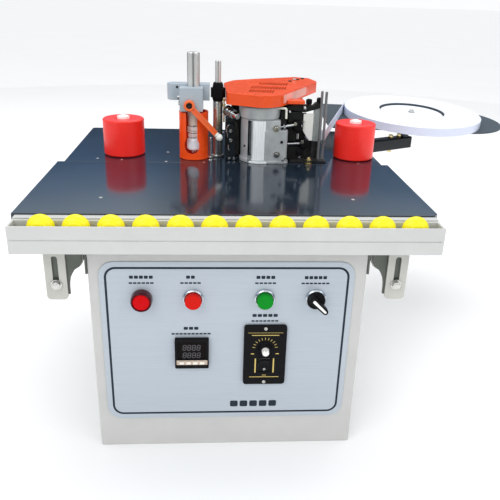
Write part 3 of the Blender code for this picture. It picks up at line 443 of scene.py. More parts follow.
def rounded(x0, y0, x1, y1, radius, steps=6):
    corners = [(x1 - radius, y0 + radius, -90), (x1 - radius, y1 - radius, 0),
        (x0 + radius, y1 - radius, 90), (x0 + radius, y0 + radius, 180)]
    return [p for cx, cy, start in corners for p in arc(cx, cy, radius, start, start + 90, steps)]


def stadium(x0, x1, r0, r1):
    """A bar along local X with round ends of two radii."""
    return arc(x0, 0, r0, 90, 270, 10) + arc(x1, 0, r1, -90, 90, 10)


def cap_screw(radius, height, place):
    """Round screw head with a hexagon socket."""
    socket = polygon(6, radius)
    return [slab(circle(radius), height * 0.6, place @ up(height * 0.7), radius * 0.12, [socket]),
        lathe(plain(0, radius, height * 0.42, 0), place, 40)]


def hex_nut(across, height, place, bore=0.0):
    """Hexagon nut or bolt head with its flats' corners turned off."""
    return [slab(polygon(6, across), height, place @ up(height / 2), across * 0.05,
        [circle(bore)] if bore else ())]


def washer(radius, bore, height, place):
    return [slab(circle(radius), height, place @ up(height / 2), height * 0.3, [circle(bore)])]


def hex_bolt(across, height, place):
    """Hexagon head on its washer, with a slightly domed crown."""
    crown = [(0, height * 1.12), (across * 0.36, height * 1.05), (across * 0.42, height * 0.8),
        (0, height * 0.8)]
    return (hex_nut(across, height, place @ up(height * 0.25)) + washer(across * 0.72, across * 0.2,
        height * 0.28, place) + [lathe(crown, place @ up(height * 0.25), 32)])


def cross_screw(radius, height, place):
    """Pan head with a cross recess."""
    w = radius * 0.16
    r = radius * 0.55
    cross = [(w, w), (w, r), (-w, r), (-w, w), (-r, w), (-r, -w), (-w, -w), (-w, -r), (w, -r),
        (w, -w), (r, -w), (r, w)]
    return [slab(circle(radius * 0.82), height * 0.4, place @ up(height * 0.8), radius * 0.15,
        [cross]), lathe([(0, height * 0.62), (radius * 0.85, height * 0.62), (radius, height * 0.2),
        (radius, 0), (0, 0)], place, 32)]


def spring(radius, wire, length, turns, place):
    points = [(radius * cos(t), radius * sin(t), length * i / (turns * 16))
        for i in range(turns * 16 + 1) for t in [2 * pi * i / 16]]
    return [tube(points, wire, place, 8)]


def carve(mesh, cutters):
    """Cut closed shapes out of a mesh."""
    target = place_object("carved", mesh)
    tools = []
    for cutter in cutters:
        tool = place_object("cutter", cutter)
        step = target.modifiers.new("cut", "BOOLEAN")
        step.operation = "DIFFERENCE"
        step.solver = "EXACT"
        step.object = tool
        tools.append(tool)
    graph = bpy.context.evaluated_depsgraph_get()
    graph.update()
    result = bpy.data.meshes.new_from_object(target.evaluated_get(graph))
    for used in (target, *tools):
        bpy.data.objects.remove(used)
    form = bmesh.new()
    form.from_mesh(result)
    bmesh.ops.remove_doubles(form, verts=form.verts, dist=1e-6)
    return mesh_of(form)


def add(name, material, shapes, place=HERE, stands_for=(), body="machine"):
    """Join shapes into one piece that rides on a body and stands for some CAD nodes."""
    form = bmesh.new()
    for shape in shapes:
        form.from_mesh(shape)
    mesh = bpy.data.meshes.new(name)
    form.to_mesh(mesh)
    form.free()
    mesh.materials.append(material)
    piece = place_object(name, mesh)
    piece.matrix_world = place
    weighted = piece.modifiers.new("normals", "WEIGHTED_NORMAL")
    weighted.keep_sharp = True
    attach(piece, body)
    if stands_for:
        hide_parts(*stands_for)
    return piece


def keep(material, *names, edge=0.0):
    """Show CAD nodes as they are, in a better material and with eased edges."""
    for name in names:
        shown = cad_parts[name]
        shown.data.materials.clear()
        shown.data.materials.append(material)
        if edge:
            eased = shown.modifiers.new("edges", "BEVEL")
            eased.width = edge * MM
            eased.segments = 2
            eased.limit_method = "ANGLE"
            eased.angle_limit = radians(40)
        weighted = shown.modifiers.new("normals", "WEIGHTED_NORMAL")
        weighted.keep_sharp = True


# ---------------------------------------------------------------- cabinet

def cabinet():
    """Folded shell with rounded front corners, the top sheet, the two beams and the back."""
    x, y = CABINET_X, CABINET_Y
    radius = 4
    outer = [(-x, y)] + arc(-x + radius, -y + radius, radius, 180, 270, 6)
    outer += arc(x - radius, -y + radius, radius, 270, 360, 6) + [(x, y)]
    inner = [(x - SHEET, y)] + arc(x - radius, -y + radius, radius - SHEET, 360, 270, 6)
    inner += arc(-x + radius, -y + radius, radius - SHEET, 270, 180, 6) + [(-x + SHEET, y)]
    walls = slab(outer + inner, CABINET_H, up(CABINET_H / 2), 0.3)
    top = slab(outer, SHEET, up(CABINET_H - SHEET / 2), 0.4, [circle(22, DRIVE_X, DRIVE_Y)])
    beams = []
    for side in (-1, 1):
        outline = rounded(-BEAM_W / 2, 326.5, BEAM_W / 2, TABLE_UNDER - 0.3, 3)
        beams.append(slab(outline, 398, at(side * (x - BEAM_W / 2), -19, 0) @ turn("X", 90), 0.6))
    add("cabinet_walls", PAINT, [walls, top, *beams], stands_for=["cabinet_shell"])
    keep(PAINT, "cabinet_back")
    back_details()


def back_details():
    """Pressed louvre hoods, screws round the rear sheet and the nut of the cord gland."""
    rear = at(0, CABINET_Y, 0) @ turn("X", -90)
    hoods = []
    for row in range(5):
        z = 205.5 + 14 * row
        lip = arc(0, 0, 5.5, 0, 90, 5) + [(0, 4.7), (4.7, 0)]
        hoods.append(slab([(-a, b) for a, b in lip], 118, at(0, CABINET_Y, z) @ turn("Z", 90)
            @ turn("X", 90), 0.3))
    add("louvre_hoods", PAINT, hoods)
    screws = []
    for x in (-178, 0, 178):
        for z in (15, 312):
            screws += cross_screw(3.5, 2.2, rear @ at(x, -z, 0))
    for x in (-178, 178):
        screws += cross_screw(3.5, 2.2, rear @ at(x, -165, 0))
    add("rear_screws", BOLTS, screws)
    gland = rear @ at(-150, -40, 0)
    ribs = [(4.2, 11.8), (7.8, 11.8), (9.2, 10), (9.2, 6.2), (4.2, 6.2)]
    add("cord_gland", PLASTIC, hex_nut(21, 4.5, gland, 10.5) + [lathe(ribs, gland),
        *washer(12.5, 10.5, 1.2, gland)])


# ---------------------------------------------------------------- panel and controls

def printed_marks():
    """Border line and plain dashes that stand for the panel's captions."""
    left, low, right, high, corner, line = -168.3, 57.3, 165.7, 297.7, 15.5, 3.1
    outer = rounded(left, low, right, high, corner, 8)
    inner = rounded(left + line, low + line, right - line, high - line, corner - line, 8)
    add("panel_border", INK, [slab(outer, INK_DEPTH, facing(0, 0), 0, [inner])])
    rows = []
    captions = [(LAMP_X, 282.6, 5, 33, 34.5), (RED_X - 3.5, 282.6, 2, 13, 29),
        (GREEN_X + 0.5, 282.3, 4, 27, 30), (SELECTOR_X - 1.5, 281.9, 5, 32, 40),
        (METER_X - 1, 203.1, 3, 22, 56), (SPEED_X - 1.5, 223.2, 5, 37, 39)]
    for x, z, count, width, lower_width in captions:
        rows += dashes(x, z, width, count, 4.6)
        rows += dashes(x, z - CAPTION_DROP, lower_width, max(4, round(lower_width / 5.5)), 2.4)
    rows += dashes(38.7, 73.8, 72, 5, 10.5)
    add("panel_captions", INK, rows)


def dashes(x, z, width, count, height):
    """A row of equal dashes about one place."""
    pitch = width / count
    return [slab(rounded(-pitch * 0.40, -height / 2, pitch * 0.40, height / 2, height * 0.2, 2),
        INK_DEPTH, facing(x + (i - (count - 1) / 2) * pitch, z), 0) for i in range(count)]


def control_ring(name, x, node_name):
    """Metal ring of a 22 mm control, with a key mark at the top."""
    profile = [(10.8, -15), (10.8, 0.7), (11.8, 0.7), (11.8, 4.6), (12.1, 5.2), (12.9, 5.4),
        (13.5, 4.6), (14.3, 4), (14.6, 2.6), (14.6, 0.3), (11.1, 0.3), (11.1, -15)]
    key = slab(rounded(-0.6, 11.3, 0.6, 12.8, 0.3, 2), 0.4, up(5.6), 0)
    add(name, BEZEL, [lathe(profile, steps=96, soft=0.3), key], facing(x, CONTROL_Z), [node_name])
    body = plain(0, 10.7, -15, -40)
    contact = brick((-9.5, -13, -52), (9.5, 13, -40))
    add(name + "_contact_block", PLASTIC, [lathe(body), contact], facing(x, CONTROL_Z))


def controls():
    lamp = facing(LAMP_X, CONTROL_Z)
    ring = [(0, 11.2), (11.9, 11.2), (12.1, 13.4), (12.9, 13.9), (13.8, 13), (14.3, 11), (14.6, 6),
        (14.6, 0.3), (10.9, 0.3), (10.9, -40), (0, -40)]
    add("pilot_lamp_ring", LAMP_RING, [lathe(ring, steps=96)], lamp, ["pilot_lamp"])
    lens = [(0, 14.2), (3.5, 14.1), (4, 13.8), (6.6, 13.7), (7.1, 13.4), (10.8, 13.1), (11.7, 12.2),
        (11.7, 11), (0, 11)]
    add("pilot_lamp_lens", LENS, [lathe(lens, steps=96)], lamp)
    for name, x, material in (("red_button", RED_X, RED), ("green_button", GREEN_X, GREEN)):
        control_ring(name + "_ring", x, name + "_bezel")
        cap = [(0, 12.4), (1.2, 12.4), (1.6, 12.8), (8.8, 13.4), (10.8, 13), (11.3, 11.8),
            (11.3, 4.1), (10.3, 4.1), (10.3, -10), (0, -10)]
        add(name + "_cap", material, [lathe(cap, steps=96)], facing(x, CONTROL_Z), [name],
            body=name)
    control_ring("selector_ring", SELECTOR_X, "selector_bezel")
    selector = facing(SELECTOR_X, CONTROL_Z)
    disc = [(0, 10.4), (10.8, 10.4), (12.2, 9.8), (12.8, 8.6), (12.8, 6), (10.3, 6), (10.3, -10),
        (0, -10)]
    slope = turn("Z", -45)
    grip = slab(stadium(-8.5, 16.5, 5, 4), 11.8, slope @ up(15), 1.2)
    add("selector_handle", PLASTIC, [lathe(disc, steps=96), grip], selector, ["selector_knob"],
        body="selector_knob")
    inlay = slab(stadium(-6.5, 16, 2.1, 1.6), 0.8, slope @ up(20.9), 0.3)
    add("selector_inlay", WHITE, [inlay], selector, body="selector_knob")
    meter()
    speed_controller()


SEGMENTS = [((-1, 2), (1, 2)), ((-1, 0), (1, 0)), ((-1, -2), (1, -2)), ((-1, 0), (-1, 2)),
    ((1, 0), (1, 2)), ((-1, -2), (-1, 0)), ((1, -2), (1, 0))]


def digit(x, z, half_w, half_h, place):
    """Seven unlit segments of one display digit."""
    bars = []
    for (ax, az), (bx, bz) in SEGMENTS:
        start = Vector((x + ax * half_w + az * 0.22, z + az * half_h / 2))
        end = Vector((x + bx * half_w + bz * 0.22, z + bz * half_h / 2))
        middle, along = (start + end) / 2, end - start
        slant = spin(atan2(along.y, along.x))
        bars.append(slab(stadium(-along.length / 2 + 0.7, along.length / 2 - 0.7, 0.42, 0.42), 0.2,
            place @ at(middle.x, middle.y, 0) @ slant, 0))
    return bars


def meter():
    """Temperature controller: frame, dark window with two rows of digits, and the key strip."""
    place = facing(METER_X, METER_Z)
    half = METER_HALF
    window = rounded(-20.5, -9, 20.5, 19.5, 1, 3)
    strip = rounded(-22.2, -19.2, 22.2, -10.4, 0.8, 3)
    face = slab(rounded(-half, -half, half, half, 1.8, 4), 6, place @ up(3.3), 0.6, [window, strip])
    case = brick((-22.3, -22.3, -65.5), (22.3, 22.3, 0.8), place)
    ribs = [brick((-22.3, z, -60), (-21.9, z + 1.2, -12), place, 0.1) for z in (-15, 0, 15)]
    add("temperature_controller_frame", PLASTIC, [face, case, *ribs],
        stands_for=["temperature_controller"])
    glass = slab(rounded(-20.6, -9.1, 20.6, 19.6, 1, 3), 4, place @ up(2.6), 0)
    add("temperature_controller_window", GLASS, [glass])
    figures = []
    for row_z in (9.6, -2.9):
        for n in range(4):
            figures += digit((n - 1.5) * 6.6 - 0.4, row_z, 2.1, 4, place @ up(4.7))
    add("temperature_controller_digits", SEGMENT, figures)
    base = slab(rounded(-22.1, -19.1, 22.1, -10.5, 0.8, 3), 4.6, place @ up(2.6), 0.2)
    add("temperature_controller_key_strip", KEYS, [base])
    for n in range(4):
        name = f"temperature_key_{n + 1}"
        x = (n - 1.5) * 9.6
        key = slab(rounded(x - 3.5, -17, x + 3.5, -12.6, 1.6, 4), 3, place @ up(5.8), 0.5)
        add(name + "_cap", KEY_FACE, [key], stands_for=[name], body=name)


def speed_controller():
    """Speed controller: face with screws, printed scale, knob and rocker."""
    place = facing(SPEED_X, SPEED_Z)
    top = 4.3
    outline = rounded(-SPEED_HALF_W, -SPEED_HALF_H, SPEED_HALF_W, SPEED_HALF_H, 4.5, 6)
    well = rounded(ROCKER_X - SPEED_X - 8.5, ROCKER_Z - SPEED_Z - 11.5, ROCKER_X - SPEED_X + 8.5,
        ROCKER_Z - SPEED_Z + 11.5, 0.6, 2)
    face = slab(outline, 4, place @ up(2.3), 0.9, [well])
    case = slab(rounded(-27.5, -44, 27.5, 44, 3, 3), 42, place @ up(-30.1), 0.6)
    add("speed_controller_face", PLASTIC, [face, case], stands_for=["speed_controller"])
    printed = place @ up(top)
    gold = []
    centre = KNOB_Z - SPEED_Z
    for n in range(11):
        direction = radians(172 - n * 16.4)
        middle = (16.3 * cos(direction), centre + 16.3 * sin(direction))
        gold.append(slab(rounded(-2, -0.35, 2, 0.35, 0.2, 2), 0.2,
            printed @ at(*middle, 0) @ spin(direction), 0))
    for x, y, width, height in ((-13.3, -16.9, 1.9, 24), (13, -16.9, 1.9, 24), (-17.8, 3, 4.8, 1.4),
            (17.8, 3, 4.8, 1.4), (0, 33.5, 39, 1.1), (0, -36.2, 43, 1), (0, 37.5, 50, 0.5),
            (0, -33.2, 6, 0.9)):
        gold.append(slab(rounded(x - width / 2, y - height / 2, x + width / 2, y + height / 2, 0.2,
            2), 0.2, printed, 0))
    add("speed_scale_marks", GOLD, gold)
    screws = cross_screw(2.7, 1.4, printed @ at(0, 44.2, 0)) + cross_screw(2.7, 1.4,
        printed @ at(0, -44.8, 0))
    add("speed_controller_screws", BOLTS, screws)
    knob = facing(SPEED_X, KNOB_Z)
    skirt = [(6.6, 10), (8.4, 9.6), (10, 6.2), (10.8, 5.2), (11, 4.9), (3, 4.9), (3, -3), (1, -3),
        (1, 10)]
    flutes = [brick((8.6, -0.4, 5.2), (9.4, 0.4, 9.2), turn("Z", n * 20), 0.2) for n in range(18)]
    add("speed_knob_skirt", PLASTIC, [lathe(skirt), *flutes], knob, ["speed_knob"],
        body="speed_knob")
    cap = [(0, 17.2), (0.8, 17.2), (1.2, 17.8), (4.1, 17.8), (4.8, 17.2), (5.3, 10.4), (5.3, 9.8),
        (0, 9.8)]
    pointer = brick((-0.4, 2.6, 17.6), (0.4, 5.2, 18), edge=0.1)
    add("speed_knob_cap", WHITE, [lathe(cap)], knob, body="speed_knob")
    add("speed_knob_pointer", INK, [pointer], knob, body="speed_knob")
    wave = [(-10.5, -0.2)] + [(z, 0.6 + 3.4 * (max(z, 0) / 10.5) ** 1.6)
        for z in (-8, -5, -2, 0.0, 2, 4, 6, 8, 10.5)]
    outline = wave + [(8.8, -2.1), (-8.8, -2.1)]
    rocker_place = at(ROCKER_X, PANEL_Y - 4.3, ROCKER_Z) @ Matrix(((0, 0, 1, 0), (0, -1, 0, 0),
        (1, 0, 0, 0), (0, 0, 0, 1)))
    add("rocker_cap", PLASTIC, [slab(outline, 16, rocker_place, 0.5)], stands_for=["rocker_switch"],
        body="rocker_switch")
    marks = [slab(circle(1.6), 0.3, rocker_place @ at(-6.2, 0.6, 0) @ turn("X", -90), 0,
        [circle(1.1)])]
    add("rocker_mark", WHITE, marks, body="rocker_switch")


# ---------------------------------------------------------------- table and rail

def table():
    for name, x, y0, y1, corner in (("front", 284, -218, 45, 8), ("rear", 273, 45.3, 322, 0.0)):
        outline = [(-x, y0), (x - corner, y0), (x, y0 + corner), (x, y1),
            (-x, y1)] if corner else [(-x, y0), (x, y0), (x, y1 - 4), (x - 4, y1), (-x + 4, y1),
            (-x, y1 - 4)]
        holes = [] if corner else [circle(6.3, *GUIDES[side]) for side in GUIDES]
        if not corner:
            holes.append(circle(16, DRIVE_X, DRIVE_Y))
        plate = slab(outline, 10, at(0, 0, (TABLE_TOP + TABLE_UNDER) / 2), 0.7, holes)
        add(f"table_{name}_top", GLOSS, [plate], stands_for=[f"table_{name}_plate"])
    heads = []
    for x, y in ((-221, 66.5), (-103, 116.5), (-102, 51), (-37, 48), (-179, 60), (233, 54),
            (-240, 280), (240, 280), (0.0, 295), (-180, -150), (180, -150)):
        recess = polygon(6, 2.6)
        heads.append(slab(circle(3), 0.6, at(x, y, TABLE_TOP), 0.2, [recess]))
        heads.append(lathe([(0, 0), (2.8, 0), (1.4, -3), (0, -3)], at(x, y, TABLE_TOP + 0.1), 24))
    add("table_screws", BOLTS, heads)
    keep(RAIL_PAINT, "table_front_angle", edge=0.5)


def rail():
    """Channel with a groove along its front, closed ends, roller pins and two screws at its right
    end.
    """
    wall, mid = RAIL_WALL, (RAIL_Z0 + RAIL_Z1) / 2
    y0, y1 = RAIL_Y0, RAIL_Y1
    section = [(y0, RAIL_Z0), (y1, RAIL_Z0), (y1, RAIL_Z1), (y1 - wall, RAIL_Z1),
        (y1 - wall, RAIL_Z0 + wall), (y0 + wall, RAIL_Z0 + wall), (y0 + wall, RAIL_Z1),
        (y0, RAIL_Z1), (y0, mid + 0.7), (y0 + 1.1, mid + 0.4), (y0 + 1.1, mid - 0.4),
        (y0, mid - 0.7)]
    stand = Matrix(((0, 0, 1, 0), (1, 0, 0, 0), (0, 1, 0, 0), (0, 0, 0, 1)))
    shapes = [slab(softened(section, 0.9), 2 * RAIL_HALF, stand, 0.3)]
    for side in (-1, 1):
        x = side * (RAIL_HALF - wall / 2)
        shapes.append(brick((x - wall / 2, y0 + 0.4, RAIL_Z0 + 0.6),
            (x + wall / 2, y1 - 0.4, RAIL_Z1 - 0.4), edge=0.8))
    add("rail_channel", RAIL_PAINT, shapes, stands_for=["roller_rail"], body="rail")
    pins = [tube([(x, y0 + 1.5, ROLLER_Z), (x, y1 - 1.5, ROLLER_Z)], 3) for x in roller_places()]
    add("roller_pins", STEEL, pins, body="rail")
    legs = []
    for side in (-1, 1):
        x = side * LEG_X
        outline = rounded(x - 14, 250, x + 14, 355, 5.5)
        slot = rounded(x - 4, 268.5, x + 4, 313.5, 3.8)
        legs.append(slab(outline, 3, facing(0, 0, -231.8), 0.5, [slot]))
    add("rail_legs", ZINC, legs, body="rail")
    # Dark U-shaped sheet along the channel's floor and lower walls: painted shade
    shade_section = [(y0 + wall, 352.5), (y0 + wall, RAIL_Z0 + wall), (y1 - wall, RAIL_Z0 + wall),
        (y1 - wall, 352.5), (y1 - wall - 0.3, 352.5), (y1 - wall - 0.3, RAIL_Z0 + wall + 0.3),
        (y0 + wall + 0.3, RAIL_Z0 + wall + 0.3), (y0 + wall + 0.3, 352.5)]
    add("rail_channel_painted_shade", CHANNEL_PAINTED_SHADE, [slab(shade_section, 2 * RAIL_HALF - 6.4, stand, 0)], body="rail")
    end_screws = []
    for z in (337.5, 344.5):
        end_screws += cap_screw(1.4, 0.6, facing(273.5, z, RAIL_Y0 + 0.7))
    add("rail_end_screws", OXIDE, end_screws, body="rail")
    dome = [(ROLLER_R * cos(t) ** 0.62, 10 * sin(t)) for t in (radians(66 - 12 * i)
        for i in range(12))]
    profile = [(3.4, 9.8), (9.6, 9.8), *dome, (9.6, -9.8), (3.4, -9.8)]
    for n, x in enumerate(roller_places()):
        name = f"rail_roller_{n + 1:02d}"
        add(name + "_wheel", YELLOW, [lathe(profile, steps=56, soft=0.6)],
            facing(x, ROLLER_Z, ROLLER_Y), [name], body=name)


def roller_places():
    return [ROLLER_MID_X + (n - (ROLLER_COUNT - 1) / 2) * ROLLER_PITCH for n in range(ROLLER_COUNT)]


def supports():
    """Side brackets with a curved gusset, and the clamping bolts of the rail's legs."""
    for side, name in ((-1, "left"), (1, "right")):
        inner, outer, reach, top = 190.3, 243, 215, 326.5
        web = [(196.5, 318), (195.8, 309), (196.8, 302), (199.8, 296.8), (206.2, 292.5),
            (210, 286.5), (213, 280), (214.5, 272), (215, 264)]
        outline = [(inner, top), (outer, top), (outer, 256), (reach, 256)] + web[::-1]
        # Bracket plates in the darker copy: painted shade; the flange edge tube keeps the plain
        # bracket colour
        plate = slab([(side * a, b) for a, b in outline], 5, facing(0, 0, -227.2), 0.6)
        inside = side * inner
        flange = brick((min(inside, inside + side * 3), -228, 285),
            (max(inside, inside + side * 3), -190, top), edge=0.6)
        add(f"rail_bracket_{name}", BRACKET_PAINTED_SHADE, [plate, flange], stands_for=[f"rail_support_{name}"])
        rim = [(side * a, -224, b) for a, b in [(196.2, 318), (195.8, 309), (196.8, 302),
            (199.5, 297.5), (203.5, 294.5), (207, 292.5)]]
        add(f"bracket_flange_edge_{name}", ZINC, [tube(rim, 1.5, sides=10)])
        sits = facing(side * LEG_X, BOLT_Z, -233.7)
        bolt = hex_bolt(10.5, 4.6, sits @ turn("Z", 12)) + [tube([(side * LEG_X, -236, BOLT_Z),
            (side * LEG_X, -227, BOLT_Z)], 3.2)]
        add(f"rail_clamp_bolt_{name}", BOLTS, bolt)
        wall = at(side * 193.3, 0, 0) @ turn("Y", side * 90)
        fixings = []
        for y in (-218, -200):
            fixings += hex_bolt(7, 2.8, wall @ at(-side * 305, y, 0))
        add(f"bracket_fixings_{name}", BOLTS, fixings)


def guide_rollers():
    for side, (x, y) in GUIDES.items():
        z0, height = TABLE_TOP + 0.5, GUIDE_H
        z1 = z0 + height
        profile = [(6.4, height - 9), (12.8, height - 9), (12.8, height - 1.2), (14, height),
            (GUIDE_R - 2.2, height), (GUIDE_R, height - 2), (GUIDE_R, 2), (GUIDE_R - 2, 0),
            (6.4, 0)]
        add(f"guide_roller_{side}_tyre", URETHANE, [lathe(profile, steps=112, soft=0.9)],
            at(x, y, z0), [f"guide_roller_{side}"], body=f"guide_roller_{side}")
        bearing = plain(9.8, 12.6, height - 5.8, height - 8.8)
        add(f"guide_bearing_{side}", STEEL, [lathe(bearing)], at(x, y, z0),
            body=f"guide_roller_{side}")
        top = at(x, y, z1)
        # The axle nut glows in its pale material: painted light
        axle = [lathe(plain(0, 6, -6, TABLE_UNDER + 0.5 - z1), top)]
        axle += washer(9.5, 3, 1.6, top @ up(-6.8)) + hex_nut(19, 8.8, top @ up(-5.2))
        stud = [(0, 5), (4.4, 5), (5.2, 4.2), (5.2, 0), (0, 0)]
        add(f"guide_axle_{side}_nut", PALE_STEEL_PAINTED_GLOW, axle + [lathe(stud, top)],
            stands_for=[f"guide_axle_{side}"])


# ---------------------------------------------------------------- trimming unit

def trim_unit():
    top = 449.3
    place = at(COLUMN_X, COLUMN_Y, 0)
    socket = lathe([(0, 374), (21.5, 374), (21.5, top), (25.3, top), (25.3, DECK + 4),
        (25.6, DECK + 2), (25.3, DECK), (0, DECK)], place, 112, 0.6)
    narrow, wide = 9.5, 12.5
    keyhole = arc(0, 391, wide, 180, 360, 16) + [(wide, 398), (narrow, 404), (narrow, top + 10),
        (-narrow, top + 10), (-narrow, 404), (-wide, 398)]
    window = slab(keyhole, 30, facing(COLUMN_X - 3, 0, COLUMN_Y - 25), 0)
    add("trim_socket", ORANGE, [carve(socket, [window])], stands_for=["trim_tube"])
    column = [(0, COLUMN_TOP), (COLUMN_R - 1.2, COLUMN_TOP), (COLUMN_R, COLUMN_TOP - 1.2),
        (COLUMN_R, 424), (8, 423.5), (8, 405), (4.5, 403.5), (4.5, 377), (0, 377)]
    # Turned so that the bar's painted reflection streaks fall where the camera sees its sides
    add("trim_column_bar", BAR, [lathe(column, steps=96)], place @ turn("Z", REFLECTION_STREAK_TURN),
        ["trim_column"], body="trim_head")
    # Glowing pale nuts: painted light in the trim tube's shaded window
    nuts = hex_nut(19.5, 6.2, place @ up(416.5) @ turn("Z", 10), 8)
    nuts += hex_nut(18.5, 6, place @ up(405) @ turn("Z", 24), 8)
    nuts += washer(11.5, 8, 1.6, place @ up(413.4))
    add("trim_jam_nuts", PALE_STEEL_PAINTED_GLOW, nuts, body="trim_head")
    # The column's foot in light matte cream, not the bar's steel: painted light in the tube's
    # shaded window
    lower = [(0, 448), (10.7, 448), (10.7, 426), (9.8, 423.8), (0, 423.8)]
    add("trim_column_lower_painted_light", CREAM, [lathe(lower, place, 64)], body="trim_head")
    # Glowing pale wheel: painted light in the trim tube's shaded window
    knurl = []
    for i in range(96):
        t = 2 * pi * i / 96
        radius = 12.2 - (0.6 if i % 2 else 0.0)
        knurl.append((radius * cos(t), radius * sin(t)))
    wheel = [slab(knurl, 12, up(390.5), 0.4, [circle(4.8)]), lathe([(4.8, 402.5), (9.5, 402.5),
        (11.8, 399), (11.8, 396.2), (4.8, 396.2)]), lathe([(4.8, 384.8), (11.3, 384.8),
        (10.5, 382.5), (4.8, 382.5)])]
    add("height_wheel", PALE_BLUE_PAINTED_GLOW, wheel, place, ["adjust_wheel"], body="adjust_wheel")
    clamp_block(place)
    lever()
    rod_and_knob()


def clamp_block(place):
    """Grey block round the column with its screws and lever pocket, and the cross arm behind it."""
    block = brick((-78.2, 60, 451.5), (-38.7, 109, 491), edge=1.4)
    bore = lathe(plain(0, COLUMN_R + 0.4, 510, 440), place)
    outline = arc(-88, 98, 12.5, 90, 270, 16) + [(-27.5, 85.5), (-27.5, 110.5)]
    bar = slab(outline, 27.5, up(480.25), 1.2)
    pocket = brick((LEVER_X - 4.6, 50, LEVER_Z - 4.6), (LEVER_X + 4.6, 70.5, LEVER_Z + 4.6))
    add("clamp_block", BLOCK_GREY, [carve(block, [bore, pocket]), carve(bar, [bore])],
        stands_for=["trim_block"], body="trim_head")
    screws = cap_screw(2.2, 1.2, facing(-83, 488.5, 86))
    add("block_screws", OXIDE, screws, body="trim_head")
    left = at(-78.2, 0, 0) @ turn("Y", -90)
    side = cap_screw(3, 4.2, left @ at(472.5, 76, 0)) + hex_nut(7, 3, left @ at(461, 92, 0))
    add("block_side_screws", BOLTS, side, body="trim_head")


def lever():
    """Clamping lever: ring with a dark socket, tapering arm with a rib, and a white ball."""
    hub = facing(LEVER_X, LEVER_Z, 0)
    ring = [(5.2, -54.5), (5.2, -50), (8.2, -50), (9.2, -51), (9.2, -58.8), (5.2, -59)]
    arm = turn("Z", -degrees(LEVER_ANGLE))
    bar = slab(rounded(7, -4.6, 64.5, 4.6, 1.2), 4, hub @ up(-54.5) @ arm, 0.8)
    rails = [slab(rounded(7.5, y - 1.1, 64, y + 1.1, 0.6), 6.4, hub @ up(-53.5) @ arm, 0.5)
        for y in (-3.4, 3.4)]
    add("lever_arm", LEVER, [lathe(ring, hub, 64), bar, *rails], stands_for=["clamp_lever"],
        body="clamp_lever")
    stud = [(0, -56), (5.2, -56), (5.2, -59), (4, -59.2), (4, -69), (0, -69)]
    add("lever_stud", OXIDE, [lathe(stud, hub, 48)] + cap_screw(4, 3.6, hub @ up(-56.2)),
        body="clamp_lever")
    ball_at = at(LEVER_X + LEVER_REACH * cos(LEVER_ANGLE), LEVER_Y,
        LEVER_Z - LEVER_REACH * sin(LEVER_ANGLE))
    ball = ball_profile(6, 20)
    collar = [(3, 8.5), (4.2, 8.5), (4.6, 5), (3, 5)]
    add("lever_ball", WHITE, [lathe(ball, soft=0.0), lathe(collar, arm_side())], ball_at,
        body="clamp_lever")


def arm_side():
    """From the ball's centre, local Z along the arm towards the hub."""
    return turn("Y", -90 + degrees(LEVER_ANGLE))


def rod_and_knob():
    place = at(ROD_X, ROD_Y, 0)
    upper = [(0, ROD_TOP), (4, ROD_TOP), (5, ROD_TOP - 1), (5, 464), (0, 464)]
    add("guide_rod_upper", BAR, [lathe(upper)], place @ turn("Z", REFLECTION_STREAK_TURN))
    lower = [(0, 465), (7.8, 465), (8.5, 464), (8.5, 380), (8.5, DECK + 0.4), (0, DECK)]
    foot = [(8.6, DECK + 4), (11, DECK + 4), (12, DECK + 3), (12, DECK), (8.6, DECK)]
    # Turned to place the sleeve's painted highlight and painted shade streaks as the camera sees
    # them
    add("guide_rod_sleeve", SLEEVE, [lathe(lower, steps=80), lathe(foot)], place @ turn("Z", 10),
        ["guide_rod"])
    lobes = []
    for i in range(120):
        t = 2 * pi * i / 120
        radius = 11.2 + 2 * cos(5 * t)
        lobes.append((radius * cos(t + 0.25), radius * sin(t + 0.25)))
    head = slab(lobes, 16.5, up(479.2), 4.2, [circle(5.6)])
    neck = lathe([(5.6, 497), (6.8, 497), (8.5, 495), (9.8, 486), (5.6, 485)])
    skirt = lathe([(5.6, 473), (10.2, 473), (8.8, 466), (5.6, 466)])
    add("star_knob_head", PLASTIC, [head, neck, skirt], place, ["star_knob"], body="star_knob")
    pin = [(0, 405), (1.4, 404.8), (2.4, 403.5), (2.4, 401.5), (1.8, 400.5), (2.2, 399.5),
        (2.2, DECK), (0, DECK)]
    add("stop_pin", CHROME, [lathe(pin), lathe([(0, DECK + 3), (5, DECK + 3), (5.5, DECK),
        (0, DECK)])], at(-26, 78.6, 0))


# ---------------------------------------------------------------- gluing head

